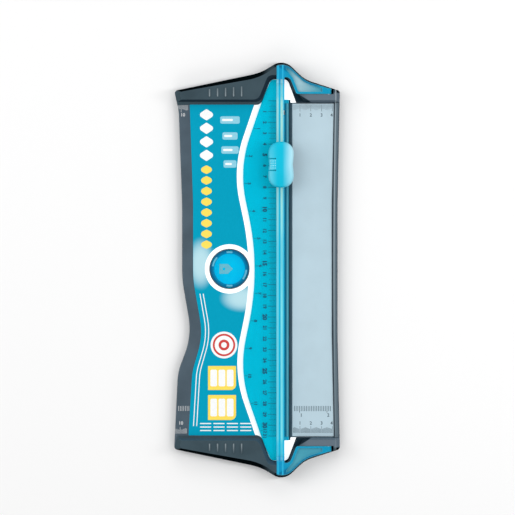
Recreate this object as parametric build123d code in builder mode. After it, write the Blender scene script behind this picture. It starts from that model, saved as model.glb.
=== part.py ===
from build123d import *
import os

os.makedirs("parts", exist_ok=True)

# Sliding paper trimmer. X runs across it, Y along the cut, Z up from the table, in millimetres.
# The origin is on the table under the middle. The head is the +Y end and the foot the -Y end.

# Base plan, where depths are measured outwards from the paper stops at the ends of the bed
base_width = 153.4
bed_length = 306.4
rail_x = 21.6
corner_depth = 12.7
left_valley_reach = 18.5
left_valley_share = 0.691
peak_reach = 2.8
peak_depth = 42.4
right_valley_reach = 22.8
right_valley_share = 0.545
corner_radius = 3.0
left_valley_radius = 50.0
peak_radius_share = 0.33
right_valley_radius = 30.0
grip_depth = 16.3
edge_inset_shares = (0.21, 1.0, 0.45, 0.45, 0.26)
edge_along_shares = (-0.616, -0.395, -0.059, 0.392, 0.96)
edge_radius_shares = (0.33, 0.42, 0.65, 2.6, 0.26)
right_waist = 2.1
right_waist_share = 0.39
right_waist_radius = 600.0

# Base heights and walls
foot_stand = 1.0
base_depth = 9.0
bed_wall = 3.0
skirt_wall = 2.4
edge_chamfer = 0.8
rib_wall = 1.6
rib_columns = 5
rib_rows = 11
spine_width = 9.0
rim_setback = 0.4
rim_width = 3.7
rim_height = 1.5
rim_edge = 0.6
overrun = 5.0
seat_gap = 0.3
fit_gap = 0.02

# End blocks
block_height = 8.6
side_lean_left = 5.2
left_corner_lean = 1.6
left_valley_lean = 5.0
peak_lean = 2.9
right_valley_lean = 2.1
side_lean_right = 3.7
block_wall = 2.2
seat_wall = 4.8
ledge_height = 1.2
ledge_width = 2.4
stop_lean = 1.8
arch_foot_left = 18.4
arch_head_left = 9.4
arch_head_right = 7.0
arch_foot_right = 15.0
arch_depth = 23.8
arch_lean = 2.0
arch_head_lean = 3.0
arch_foot_radius = 7.0
arch_head_radius = 6.0
right_stop_depth = 1.8
seat_height = 4.2
stop_wall_depth = 9.1
stop_ramp_start = 17.3
stop_ramp_end = 25.6
stop_ramp_radius = 6.0
finger_rib_count = 5
finger_rib_pitch = 7.4
finger_rib_x = -29.0
finger_rib_length = 7.0
finger_rib_growth = 0.6
finger_rib_width = 1.3
finger_rib_height = 0.7
finger_rib_setback = 2.7

# Hinge
hinge_inset = 10.5
hinge_height = 16.3
hinge_pin_radius = 1.2
hinge_run_gap = 0.06
hinge_pin_length = 9.3
hinge_pin_grip = 5.1
knuckle_radius = 2.5
knuckle_room = 2.0

# Right side inlays
cut_x = 30.1
mat_left_reach = 1.7
mat_width = 4.0
mat_depth = 1.6
mat_past_stop = 3.9
groove_width = 1.6
groove_depth = 1.1
plate_past_stop = 1.1
plate_chamfer = 0.5
inlay_gap = 0.1

# Bed card
card_thickness = 0.35
card_margin = 10.2
card_margin_foot = 13.3
card_gap = 0.4
card_ring_gap = 0.8
card_slit_width = 1.8
card_slit_past = 2.6

# Blade storage
well_x = -25.5
well_y = 1.0
cup_radius = 15.3
cup_wall = 1.3
cup_floor = 1.2
cup_lip = 1.0
cup_lift = 0.4
well_wall = 1.9
lid_radius = 17.9
lid_thickness = 2.2
lid_window_radius = 14.4
lid_window_depth = 0.4
lid_skirt_depth = 2.0
lid_skirt_wall = 1.2
lid_gap = 0.15
lid_notch_width = 4.0
lid_notch_depth = 1.2
lid_notch_angles = (90, 152, 270, 332)
lid_edge = 0.3
spare_shift = 3.2

# Feet and screws
foot_radius = 5.0
foot_sink = 1.0
foot_pad_wall = 1.5
foot_inset = 16.0
foot_row_inset = 8.0
screw_radius = 1.5
screw_head_radius = 2.8
screw_head_height = 2.0
screw_head_sink = 3.0
screw_grip = 5.0
screw_boss_wall = 1.8
screw_slot_width = 0.8
screw_slot_depth = 0.9
screw_left_x = -56.0
screw_mid_x = -1.0
screw_right_x = 50.0
screw_left_depth = 9.2
screw_mid_depth = 14.5
screw_right_depth = 6.3

# Ruler arm
ruler_lift = 0.7
ruler_thickness = 2.5
ruler_end_depth = 23.0
ruler_head_reach = 8.7
ruler_head_radius = 5.0
ruler_shoulder_reach = 17.4
ruler_shoulder_depth = 2.0
ruler_shoulder_radius = 20.0
crest_reach = 38.4
crest_along_share = 0.614
crest_round_share = 0.245
trough_reach = 18.8
trough_round_share = 0.527
ruler_edge = 0.5
neck_width = 5.0
neck_height = 1.8
rail_width = 7.4
rail_height = 2.8
rail_edge = 0.6
rail_groove_width = 1.8
rail_groove_depth = 0.4
flange_gap = 0.5
flange_past_stop = 4.3
flange_bevel_width = 2.0
flange_bevel_height = 1.6
entry_notch_inset = 7.6
entry_notch_length = 4.2
entry_notch_width = 2.0
entry_notch_bite = 1.1
tenon_width = 4.0
tenon_height = 1.4
tenon_length = 6.0
tenon_lift = 0.4
tenon_gap = 0.08

# Wings
wing_thickness = 4.3
wing_lip = 0.9
wing_left_reach = 3.5
wing_box_reach = 3.8
wing_throat_depth = 24.8
wing_throat_reach = 8.6
wing_foot_reach = 14.8
wing_throat_radius = 5.0
wing_foot_radius = 2.5
wing_seat_share = 0.55
wing_rim = 1.8
wing_hollow = 1.6
wing_hollow_start = 5.6
wing_hollow_stop = 3.4
wing_hollow_tip_depth = 32.0
wing_hollow_turn = 11.5
wing_hollow_turn_depth = 23.7

# Slider carriage
slider_along_share = 0.633
carriage_length = 38.0
bridge_width = 10.0
bridge_height = 1.5
rail_gap = 0.25
shoe_length = 10.0
shoe_wall = 3.2
shoe_roof = 1.2
shoe_edge = 1.2
lip_reach = 1.1
lip_height = 1.2
post_radius = 2.0
post_height = 5.9
post_along = 13.2
spring_seat_depth = 0.6

# Cutter head
press_travel = 3.0
cap_length = 42.4
cap_width = 24.2
cap_waist = 0.8
cap_offset = 0.5
cap_end_radius = 10.8
cap_waist_radius = 60.0
cap_clearance = 3.4
cap_height = 8.6
cap_crown = 3.4
cap_wall = 2.0
cap_ceiling = 2.2
cap_round = 2.4
tongue_width = 10.8
tongue_reach = 7.0
tongue_slit = 1.0
guide_wall = 1.5
guide_gap = 0.15
guide_setback = 0.2
blade_length = 12.5
blade_width = 9.2
blade_thickness = 0.4
blade_hole_radius = 1.2
blade_hole_setback = 4.3
blade_clear = 2.3
blade_slot_gap = 0.1
holder_radius = 7.0
holder_thickness = 2.5
clamp_radius = 6.6
clamp_thickness = 1.6
blade_pin_radius = 1.1
blade_pin_inset = 0.4
spring_radius = 2.4
spring_wire = 0.7
spring_turns = 5
spring_along = 6.6

# Places worked out from the sizes above
half_width = base_width / 2
bed_half = bed_length / 2
left_valley_depth = peak_depth * left_valley_share
right_valley_depth = peak_depth * right_valley_share
bed_top = foot_stand + base_depth
block_top = bed_top + block_height
ledge_top = bed_top + ledge_height
seat_top = bed_top + seat_height
hinge_x = half_width - hinge_inset
stop_wall_y = bed_half + stop_wall_depth
right_stop_y = bed_half + right_stop_depth
mat_left = cut_x - mat_left_reach
mat_right = mat_left + mat_width
mat_half = bed_half + mat_past_stop
plate_half = bed_half + plate_past_stop
ruler_bottom = bed_top + ruler_lift
ruler_top = ruler_bottom + ruler_thickness
ruler_half = bed_half + ruler_end_depth
head_bottom = ruler_top + neck_height
rail_top = head_bottom + rail_height
rail_left = rail_x - rail_width / 2
rail_right = rail_x + rail_width / 2
flange_right = cut_x - flange_gap
flange_half = bed_half + flange_past_stop
wing_bottom = seat_top + seat_gap
wing_top = wing_bottom + wing_thickness
wing_left = rail_x - wing_left_reach
lip_top = bed_top - lid_thickness + card_thickness - lid_gap
bridge_bottom = rail_top + rail_gap + shoe_roof
bridge_top = bridge_bottom + bridge_height
cap_bottom = bridge_top + cap_clearance
cap_top = cap_bottom + cap_height
cap_x = rail_x + cap_offset
slider_y = bed_half * slider_along_share
blade_tip = bed_top + blade_clear
blade_left = cut_x - blade_thickness / 2
blade_right = cut_x + blade_thickness / 2


def end_corners(rise):
    """Corners of an end block's plan, leaning in by a share of its height, from the left."""
    inner = bed_half - overrun
    return [
        (-half_width + side_lean_left * rise, bed_half + corner_depth - left_corner_lean * rise),
        (rail_x - left_valley_reach, bed_half + left_valley_depth - left_valley_lean * rise),
        (rail_x + peak_reach, bed_half + peak_depth - peak_lean * rise),
        (rail_x + right_valley_reach, bed_half + right_valley_depth - right_valley_lean * rise),
        (half_width - side_lean_right * rise, bed_half + corner_depth),
        (right_edge_x(inner) - side_lean_right * rise, inner),
        (-half_width + grip_depth * edge_inset_shares[-1] + side_lean_left * rise, inner),
    ]


def right_edge_x(along):
    """X of the base's gently waisted right edge at a distance along Y."""
    start = bed_half * right_waist_share
    share = (abs(along) - start) / (bed_half + corner_depth - start)
    return half_width - right_waist * (1 - max(0, share))


def right_strip(inset, half):
    """Corners of a line along the right edge, moved in by an inset, from the head to the foot."""
    waist = bed_half * right_waist_share
    return [(right_edge_x(y) - inset, y) for y in (half, waist, -waist, -half)]


def left_chain(margins):
    """Corners of the left edge with its grip recess, moved in by margins, from the foot up."""
    return [
        (-half_width + grip_depth * inset + margin, bed_half * along)
        for inset, along, margin in zip(edge_inset_shares, edge_along_shares, margins)
    ]


def arch_corners(stop, lean):
    """Corners of the room inside an end block: the bed up to its stop, and the slider's arch."""
    far = half_width + overrun
    near = bed_half - 2 * overrun
    top = bed_half + arch_depth + arch_head_lean * lean
    right_stop = right_stop_y + stop_lean * lean
    return [
        (-far, near),
        (-far, stop + stop_lean * lean),
        (rail_x - arch_foot_left - arch_lean * lean, stop + stop_lean * lean),
        (rail_x - arch_head_left - arch_lean * lean, top),
        (rail_x + arch_head_right, top),
        (rail_x + arch_foot_right, right_stop),
        (far, right_stop),
        (far, near),
    ]


def plan(corners, radii, height):
    """Level face inside a closed outline with rounded corners."""
    with BuildSketch(Plane.XY.offset(height)) as face:
        with BuildLine():
            FilletPolyline(*corners, radius=radii, close=True)
        make_face()
    return face.sketch


def mirrored(corners):
    """The same corners at the other end of the trimmer, in an order that carries on the outline."""
    return [(x, -y) for x, y in reversed(corners)]


peak_radius = peak_depth * peak_radius_share
end_radii = [corner_radius, left_valley_radius, peak_radius, right_valley_radius, corner_radius]
block_radii = end_radii + [0, 0]
arch_radii = [0, 0, arch_foot_radius, arch_head_radius, arch_head_radius, 0, 0, 0]
left_radii = [bed_half * share for share in edge_radius_shares]
waist_radii = [right_waist_radius, right_waist_radius]
head_edge = end_corners(0)[:5]
left_edge = left_chain([0] * len(edge_inset_shares))
tray_corners = head_edge + right_strip(0, mat_half)[1:3] + mirrored(head_edge) + left_edge
tray_radii = end_radii + waist_radii + end_radii[::-1] + left_radii

screw_rows = (
    (screw_left_x, bed_half + screw_left_depth),
    (screw_mid_x, bed_half + screw_mid_depth),
    (screw_right_x, bed_half + screw_right_depth),
)
screw_places = [(x, side * y) for x, y in screw_rows for side in (1, -1)]
foot_x = half_width - foot_inset
foot_row = bed_half - foot_row_inset
foot_places = [(x, y) for x in (-foot_x, foot_x) for y in (-foot_row, 0, foot_row)]


# Base tray, hollow below, with bosses for the screws, pads for the feet and a wall round the well
rim_half = right_stop_y - seat_gap
rim_outer = edge_chamfer + rim_setback
rim_inner = rim_outer + rim_width
seat_right = half_width - rim_outer - seat_wall
with BuildPart() as base_tray:
    extrude(plan(tray_corners, tray_radii, foot_stand), amount=base_depth)
    chamfer(base_tray.faces().sort_by(Axis.Z)[-1].edges(), length=edge_chamfer)
    with BuildSketch(Plane.XY.offset(foot_stand)) as hollow:
        with BuildLine():
            FilletPolyline(*tray_corners, radius=tray_radii, close=True)
        make_face()
        offset(amount=-skirt_wall)
        with GridLocations(base_width / rib_columns, 0, rib_columns - 1, 1):
            Rectangle(rib_wall, bed_length + 2 * peak_depth, mode=Mode.SUBTRACT)
        with GridLocations(0, 2 * ruler_half / rib_rows, 1, rib_rows - 1):
            Rectangle(base_width, rib_wall, mode=Mode.SUBTRACT)
        with Locations((cut_x, 0)):
            Rectangle(spine_width, bed_length + 2 * peak_depth, mode=Mode.SUBTRACT)
        with Locations(*screw_places):
            Circle(screw_head_radius + screw_boss_wall, mode=Mode.SUBTRACT)
        with Locations(*foot_places):
            Circle(foot_radius + foot_pad_wall, mode=Mode.SUBTRACT)
        with Locations((well_x, well_y)):
            Circle(lid_radius + well_wall, mode=Mode.SUBTRACT)
    extrude(amount=base_depth - bed_wall, mode=Mode.SUBTRACT)
    rim_corners = right_strip(rim_outer, rim_half) + right_strip(rim_inner, rim_half)[::-1]
    rim_radii = [0, *waist_radii, 0, 0, *waist_radii, 0]
    extrude(plan(rim_corners, rim_radii, bed_top), amount=rim_height)
    rim_face = base_tray.faces().sort_by(Axis.Z)[-1]
    rim_sides = rim_face.edges().filter_by_position(Axis.Y, rim_edge - rim_half, rim_half - rim_edge)
    fillet(rim_sides, rim_edge)
    plate_edge = right_strip(rim_inner + inlay_gap, plate_half)
    plate_room = [(mat_right, plate_half), *plate_edge, (mat_right, -plate_half)]
    plate_radii = [0, 0, *waist_radii, 0, 0]
    extrude(plan(plate_room, plate_radii, bed_top), amount=-mat_depth, mode=Mode.SUBTRACT)
    with Locations(((mat_left + mat_right) / 2, 0, bed_top)):
        Box(mat_width, 2 * mat_half, 2 * mat_depth, mode=Mode.SUBTRACT)
    with Locations((well_x, well_y, bed_top)):
        CounterBoreHole(cup_radius + fit_gap, lid_radius + lid_gap, bed_top - lip_top + cup_lip, base_depth)
    with Locations(*(Plane((x, y, foot_stand), z_dir=(0, 0, -1)) for x, y in screw_places)):
        CounterBoreHole(screw_radius + fit_gap, screw_head_radius + fit_gap, screw_head_sink, base_depth)
    with Locations(*((x, y, foot_stand) for x, y in foot_places)):
        Cylinder(foot_radius + fit_gap, 2 * foot_sink, mode=Mode.SUBTRACT)
base_tray.part.label = "base_tray"
export_step(base_tray.part, "parts/base_tray.step")


# End block at the head: leaning walls, the slider's arch, a ledge, a stop wall and the wing's seat
seat_corners = [
    (wing_left - seat_gap, bed_half - overrun),
    (wing_left - seat_gap, bed_half + peak_depth),
    (seat_right, bed_half + peak_depth),
    (seat_right, stop_wall_y),
    (rail_x + stop_ramp_start, stop_wall_y),
    (rail_x + (stop_ramp_start + stop_ramp_end) / 2, right_stop_y + stop_lean),
    (rail_x + stop_ramp_end, right_stop_y),
    (rail_x + stop_ramp_end, bed_half - overrun),
]
seat_radii = [0, 0, 0, 0, 0, stop_ramp_radius, 0, 0]
knuckle_corners = [
    (hinge_x - knuckle_radius - knuckle_room, stop_wall_y),
    (seat_right, stop_wall_y),
    (seat_right, bed_half + peak_depth),
    (hinge_x - knuckle_radius - knuckle_room, bed_half + peak_depth),
]
pocket_left = -half_width + side_lean_left + block_wall
pocket_right = rail_x - arch_foot_left - arch_lean - block_wall
pocket_inner = bed_half + ledge_width + stop_lean + block_wall
pocket_corners = [
    (pocket_left, pocket_inner),
    (pocket_right, pocket_inner),
    (pocket_right, bed_half + left_valley_depth - left_valley_lean - 2 * block_wall),
    (pocket_left, bed_half + corner_depth - left_corner_lean - block_wall),
]
cut_rise = block_height - ledge_height
over_share = 1 + overrun / cut_rise
with BuildPart() as head_end_block:
    lower = plan(end_corners(0), block_radii, bed_top)
    upper = plan(end_corners(1), block_radii, block_top)
    loft([lower, upper], ruled=True)
    extrude(plan(arch_corners(bed_half, 0), arch_radii, bed_top), amount=ledge_height, mode=Mode.SUBTRACT)
    above_ledge = plan(arch_corners(bed_half + ledge_width, 0), arch_radii, ledge_top)
    above_top = plan(
        arch_corners(bed_half + ledge_width, over_share), arch_radii, ledge_top + cut_rise * over_share
    )
    loft([above_ledge, above_top], ruled=True, mode=Mode.SUBTRACT)
    extrude(plan(seat_corners, seat_radii, seat_top), amount=block_height, mode=Mode.SUBTRACT)
    knuckle_floor = hinge_height - knuckle_radius - seat_gap
    extrude(plan(knuckle_corners, 0, knuckle_floor), amount=block_height, mode=Mode.SUBTRACT)
    with BuildSketch(Plane.XY.offset(bed_top)):
        with BuildLine():
            Polyline(*pocket_corners, close=True)
        make_face()
        with Locations(*screw_rows):
            Circle(screw_radius + screw_boss_wall, mode=Mode.SUBTRACT)
    extrude(amount=block_height - block_wall, mode=Mode.SUBTRACT)
    with Locations(*(Plane((x, y, bed_top), z_dir=(0, 0, -1)) for x, y in screw_rows)):
        Hole(screw_radius + fit_gap, screw_grip + fit_gap)
    with Locations(Plane((hinge_x, stop_wall_y, hinge_height), z_dir=(0, 1, 0))):
        Hole(hinge_pin_radius + fit_gap, hinge_pin_grip)
    rib_start = bed_half + ledge_width + stop_lean + finger_rib_setback
    with BuildSketch(Plane.XY.offset(block_top)):
        for step in range(finger_rib_count):
            rib_length = finger_rib_length + finger_rib_growth * step
            rib_x = finger_rib_x + finger_rib_pitch * (step - (finger_rib_count - 1) / 2)
            with Locations((rib_x, rib_start + rib_length / 2)):
                SlotOverall(rib_length, finger_rib_width, rotation=90)
    extrude(amount=finger_rib_height)
head_end_block.part.label = "head_end_block"
export_step(head_end_block.part, "parts/head_end_block.step")

with BuildPart() as foot_end_block:
    mirror(head_end_block.part, about=Plane.XZ)
foot_end_block.part.label = "foot_end_block"
export_step(foot_end_block.part, "parts/foot_end_block.step")


# Light plate with its scales, let into the bed right of the cut
plate_left = mat_right + inlay_gap
plate_outline = [
    (plate_left, plate_half - inlay_gap),
    *right_strip(rim_inner + 2 * inlay_gap, plate_half - inlay_gap),
    (plate_left, -plate_half + inlay_gap),
]
with BuildPart() as side_scale_plate:
    extrude(plan(plate_outline, plate_radii, bed_top - mat_depth), amount=mat_depth)
    chamfer(side_scale_plate.faces().sort_by(Axis.Z)[-1].edges(), length=plate_chamfer)
side_scale_plate.part.label = "side_scale_plate"
export_step(side_scale_plate.part, "parts/side_scale_plate.step")

# Dark strip under the cut, grooved for the blade's tip
with BuildPart() as cutting_mat:
    with Locations(((mat_left + mat_right) / 2, 0, bed_top)):
        Box(
            mat_width - 2 * inlay_gap,
            2 * (mat_half - inlay_gap),
            mat_depth,
            align=(Align.CENTER, Align.CENTER, Align.MAX),
        )
    with Locations((cut_x, 0, bed_top)):
        Box(groove_width, 2 * mat_half, 2 * groove_depth, mode=Mode.SUBTRACT)
cutting_mat.part.label = "cutting_mat"
export_step(cutting_mat.part, "parts/cutting_mat.step")

# Card on the bed, up to the rail, with white tabs that reach into both arches
card_margins = [card_margin_foot] + [card_margin] * (len(edge_inset_shares) - 1)
card_stop = bed_half - card_gap
card_left = left_chain(card_margins)
card_arch = [
    (rail_x - arch_foot_left + card_gap, card_stop),
    (rail_x - arch_head_left + card_gap, bed_half + arch_depth - card_gap),
    (rail_x + arch_head_right - card_gap, bed_half + arch_depth - card_gap),
    (rail_x + arch_foot_right - card_gap, right_stop_y),
    (rail_right, right_stop_y),
]
card_arch_radii = [arch_foot_radius, arch_head_radius, arch_head_radius, 0, 0]
card_head_corner = (card_left[-1][0], card_stop)
card_foot_corner = (-half_width + card_margin_foot, -card_stop)
card_corners = [
    card_head_corner,
    *card_arch,
    *mirrored(card_arch),
    card_foot_corner,
    *card_left[:-1],
]
card_radii = [0, *card_arch_radii, *card_arch_radii[::-1], 0, *left_radii[:-1]]
with BuildPart() as bed_card:
    extrude(plan(card_corners, card_radii, bed_top), amount=card_thickness)
    with Locations((well_x, well_y, bed_top)):
        Cylinder(lid_radius + card_ring_gap, 2 * overrun, mode=Mode.SUBTRACT)
    with Locations(*((cut_x, side * right_stop_y, bed_top) for side in (1, -1))):
        Box(card_slit_width, 2 * card_slit_past, 2 * overrun, mode=Mode.SUBTRACT)
bed_card.part.label = "bed_card"
export_step(bed_card.part, "parts/bed_card.step")


# Cup for spare blades, hung by its lip in the well
cup_bottom = foot_stand + cup_lift
cup_inside = cup_bottom + cup_floor
with BuildPart() as storage_cup:
    with Locations((well_x, well_y, cup_bottom)):
        Cylinder(cup_radius, lip_top - cup_bottom, align=(Align.CENTER, Align.CENTER, Align.MIN))
    with Locations((well_x, well_y, lip_top)):
        Cylinder(lid_radius, cup_lip, align=(Align.CENTER, Align.CENTER, Align.MAX))
    with Locations((well_x, well_y, cup_inside)):
        Cylinder(
            cup_radius - cup_wall,
            lip_top - cup_inside + overrun,
            align=(Align.CENTER, Align.CENTER, Align.MIN),
            mode=Mode.SUBTRACT,
        )
storage_cup.part.label = "storage_cup"
export_step(storage_cup.part, "parts/storage_cup.step")

# Push-in lid with a sunk window, a plug rim below and finger notches in its edge
with BuildPart() as storage_lid:
    with Locations((well_x, well_y, lip_top)):
        Cylinder(lid_radius, lid_thickness, align=(Align.CENTER, Align.CENTER, Align.MIN))
        Cylinder(
            cup_radius - cup_wall - lid_gap, lid_skirt_depth, align=(Align.CENTER, Align.CENTER, Align.MAX)
        )
        Cylinder(
            cup_radius - cup_wall - lid_gap - lid_skirt_wall,
            lid_skirt_depth,
            align=(Align.CENTER, Align.CENTER, Align.MAX),
            mode=Mode.SUBTRACT,
        )
    chamfer(storage_lid.faces().sort_by(Axis.Z)[-1].edges(), length=lid_edge)
    with Locations((well_x, well_y, lip_top + lid_thickness)):
        Cylinder(lid_window_radius, 2 * lid_window_depth, mode=Mode.SUBTRACT)
        for angle in lid_notch_angles:
            with PolarLocations(lid_radius, 1, start_angle=angle):
                Box(2 * lid_notch_depth, lid_notch_width, lid_thickness, mode=Mode.SUBTRACT)
storage_lid.part.label = "storage_lid"
export_step(storage_lid.part, "parts/storage_lid.step")


def blade_corners():
    """House-shaped blade lying along +X, its point at the origin."""
    shoulder = -blade_width / 2
    return [
        (0, 0),
        (shoulder, blade_width / 2),
        (-blade_length, blade_width / 2),
        (-blade_length, -blade_width / 2),
        (shoulder, -blade_width / 2),
    ]


# Spare blade lying on the cup's floor, its point towards the ruler
with BuildPart() as spare_blade:
    with BuildSketch(Plane((well_x + blade_length / 2 - spare_shift, well_y, cup_inside))):
        with BuildLine():
            Polyline(*blade_corners(), close=True)
        make_face()
        with Locations((blade_hole_setback - blade_length, 0)):
            Circle(blade_hole_radius, mode=Mode.SUBTRACT)
    extrude(amount=blade_thickness)
spare_blade.part.label = "spare_blade"
export_step(spare_blade.part, "parts/spare_blade.step")


# Rubber feet sunk into their pads, and slotted screws that hold the end blocks from below
with BuildPart() as rubber_feet:
    with Locations(*((x, y, 0) for x, y in foot_places)):
        Cylinder(foot_radius, foot_stand + foot_sink, align=(Align.CENTER, Align.CENTER, Align.MIN))
    chamfer(rubber_feet.faces().group_by(Axis.Z)[0].edges(), length=foot_stand / 2)
rubber_feet.part.label = "rubber_feet"
export_step(rubber_feet.part, "parts/rubber_feet.step")

screw_seat = foot_stand + screw_head_sink
with BuildPart() as base_screws:
    with Locations(*((x, y, screw_seat) for x, y in screw_places)):
        Cylinder(
            screw_radius, bed_top + screw_grip - screw_seat, align=(Align.CENTER, Align.CENTER, Align.MIN)
        )
        Cylinder(screw_head_radius, screw_head_height, align=(Align.CENTER, Align.CENTER, Align.MAX))
    with Locations(*((x, y, screw_seat - screw_head_height) for x, y in screw_places)):
        Box(2 * screw_head_radius, screw_slot_width, 2 * screw_slot_depth, mode=Mode.SUBTRACT)
base_screws.part.label = "base_screws"
export_step(base_screws.part, "parts/base_screws.step")


# Hinge pins, gripped by the stop walls and run in by the wings' knuckles
with BuildPart() as head_hinge_pin:
    with BuildSketch(Plane((hinge_x, stop_wall_y - hinge_pin_grip, hinge_height), z_dir=(0, 1, 0))):
        Circle(hinge_pin_radius)
    extrude(amount=hinge_pin_length)
head_hinge_pin.part.label = "head_hinge_pin"
export_step(head_hinge_pin.part, "parts/head_hinge_pin.step")

with BuildPart() as foot_hinge_pin:
    mirror(head_hinge_pin.part, about=Plane.XZ)
foot_hinge_pin.part.label = "foot_hinge_pin"
export_step(foot_hinge_pin.part, "parts/foot_hinge_pin.step")


# Ruler: a plate with a wavy left edge, a rail along it and a bevelled flange beside the cut
ruler_end = (rail_x - ruler_head_reach, ruler_half)
ruler_shoulder = (rail_x - ruler_shoulder_reach, bed_half + ruler_shoulder_depth)
crest = (rail_x - crest_reach, bed_half * crest_along_share)
trough = (rail_x - trough_reach, 0)
flange_side = [(rail_right, -flange_half), (flange_right, -flange_half)]
ruler_corners = [
    (rail_right, ruler_half),
    ruler_end,
    ruler_shoulder,
    crest,
    trough,
    *mirrored([(rail_right, ruler_half), ruler_end, ruler_shoulder, crest]),
    *flange_side,
    *mirrored(flange_side),
]
wave_bend = (crest[1] - trough[1]) ** 2 / (crest_reach - trough_reach)
crest_radius = wave_bend * crest_round_share
trough_radius = wave_bend * trough_round_share
edge_radii = [ruler_head_radius, ruler_shoulder_radius, crest_radius]
ruler_radii = [0, *edge_radii, trough_radius, *edge_radii[::-1], 0]
tenon_bottom = head_bottom + tenon_lift
with BuildPart() as ruler:
    extrude(plan(ruler_corners, ruler_radii + [0] * 4, ruler_bottom), amount=ruler_thickness)
    wave = ruler.faces().sort_by(Axis.Z)[-1].edges().filter_by_position(Axis.X, -half_width, rail_left)
    chamfer(wave, length=ruler_edge)
    bevel = ruler.faces().sort_by(Axis.Z)[-1].edges().sort_by(Axis.X)[-1]
    chamfer(bevel, length=flange_bevel_height, length2=flange_bevel_width)
    with BuildSketch(Plane.XZ) as rail:
        with Locations((rail_x, ruler_top)):
            Rectangle(neck_width, neck_height, align=(Align.CENTER, Align.MIN))
        with Locations((rail_x, head_bottom)):
            Rectangle(rail_width, rail_height, align=(Align.CENTER, Align.MIN))
        fillet(rail.vertices().group_by(Axis.Y)[-1], rail_edge)
        with Locations((rail_x, rail_top)):
            Rectangle(rail_groove_width, 2 * rail_groove_depth, mode=Mode.SUBTRACT)
    extrude(amount=ruler_half, both=True)
    with Locations((rail_right - entry_notch_bite, bed_half - entry_notch_inset, ruler_bottom)):
        Box(
            entry_notch_width,
            entry_notch_length,
            rail_top - ruler_bottom,
            align=(Align.MIN, Align.CENTER, Align.MIN),
            mode=Mode.SUBTRACT,
        )
    with Locations(*((rail_x, side * ruler_half, tenon_bottom - tenon_gap) for side in (1, -1))):
        Box(
            tenon_width + 2 * tenon_gap,
            2 * (tenon_length + tenon_gap),
            tenon_height + 2 * tenon_gap,
            align=(Align.CENTER, Align.CENTER, Align.MIN),
            mode=Mode.SUBTRACT,
        )
ruler.part.label = "ruler"
export_step(ruler.part, "parts/ruler.step")


# Wing at the head: a rimmed arm from the rail's end to its knuckle on the hinge pin
def wing_outer(inset):
    """Corners of the end's outline at the wing's height, moved in along Y by an inset."""
    return [(x, y - inset) for x, y in end_corners(wing_seat_share)]


def wing_inner(rim):
    """Corners of the wing's inner side, moved in by a rim, closed well outside the end."""
    throat = bed_half + wing_throat_depth + rim
    inner = stop_wall_y + seat_gap + rim
    far = bed_half + peak_depth
    return [
        (wing_left + rim, ruler_half + rim),
        (rail_x + wing_box_reach + rim, ruler_half + rim),
        (rail_x + wing_box_reach + rim, throat),
        (rail_x + wing_throat_reach + rim, throat),
        (rail_x + wing_foot_reach + rim, inner),
        (hinge_x, inner),
        (hinge_x, far),
        (wing_left + rim, far),
    ]


wing_inner_radii = [0, 0, 0, wing_throat_radius, wing_foot_radius, 0, 0, 0]
wing_tip_from, wing_tip_to = wing_outer(wing_lip)[3:5]
wing_tip_slope = (wing_tip_to[1] - wing_tip_from[1]) / (wing_tip_to[0] - wing_tip_from[0])
knuckle_start = stop_wall_y + seat_gap
knuckle_end = wing_tip_from[1] + wing_tip_slope * (hinge_x - wing_tip_from[0])
hollow_left = rail_x + wing_hollow_start
hollow_right = hinge_x - knuckle_radius - wing_hollow_stop
hollow_turn_x = rail_x + wing_hollow_turn
hollow_corners = [
    (hollow_left, bed_half + peak_depth),
    (hollow_left, bed_half + wing_hollow_tip_depth),
    (hollow_turn_x, bed_half + wing_hollow_turn_depth),
    (hollow_turn_x, bed_half),
    (hollow_right, bed_half),
    (hollow_right, bed_half + peak_depth),
]
with BuildPart() as head_wing:
    with BuildSketch(Plane.XY.offset(wing_bottom)):
        with BuildLine():
            FilletPolyline(*wing_outer(wing_lip), radius=block_radii, close=True)
        make_face()
        with BuildLine():
            FilletPolyline(*wing_inner(0), radius=wing_inner_radii, close=True)
        make_face(mode=Mode.INTERSECT)
    extrude(amount=wing_thickness)
    with BuildSketch(Plane.XY.offset(wing_top)):
        with BuildLine():
            FilletPolyline(*wing_outer(wing_lip + wing_rim), radius=block_radii, close=True)
        make_face()
        with BuildLine():
            FilletPolyline(*wing_inner(wing_rim), radius=wing_inner_radii, close=True)
        make_face(mode=Mode.INTERSECT)
        with BuildLine():
            Polyline(*hollow_corners, close=True)
        make_face(mode=Mode.INTERSECT)
    extrude(amount=-wing_hollow, mode=Mode.SUBTRACT)
    with BuildSketch(Plane((hinge_x, knuckle_start, hinge_height), z_dir=(0, 1, 0))):
        Circle(knuckle_radius)
    extrude(amount=knuckle_end - knuckle_start)
    with Locations(Plane((hinge_x, knuckle_start, hinge_height), z_dir=(0, -1, 0))):
        Hole(hinge_pin_radius + hinge_run_gap, hinge_pin_length - hinge_pin_grip)
    with Locations((rail_x, ruler_half, tenon_bottom)):
        Box(tenon_width, tenon_length, tenon_height, align=(Align.CENTER, Align.MAX, Align.MIN))
head_wing.part.label = "head_wing"
export_step(head_wing.part, "parts/head_wing.step")

with BuildPart() as foot_wing:
    mirror(head_wing.part, about=Plane.XZ)
foot_wing.part.label = "foot_wing"
export_step(foot_wing.part, "parts/foot_wing.step")


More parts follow.
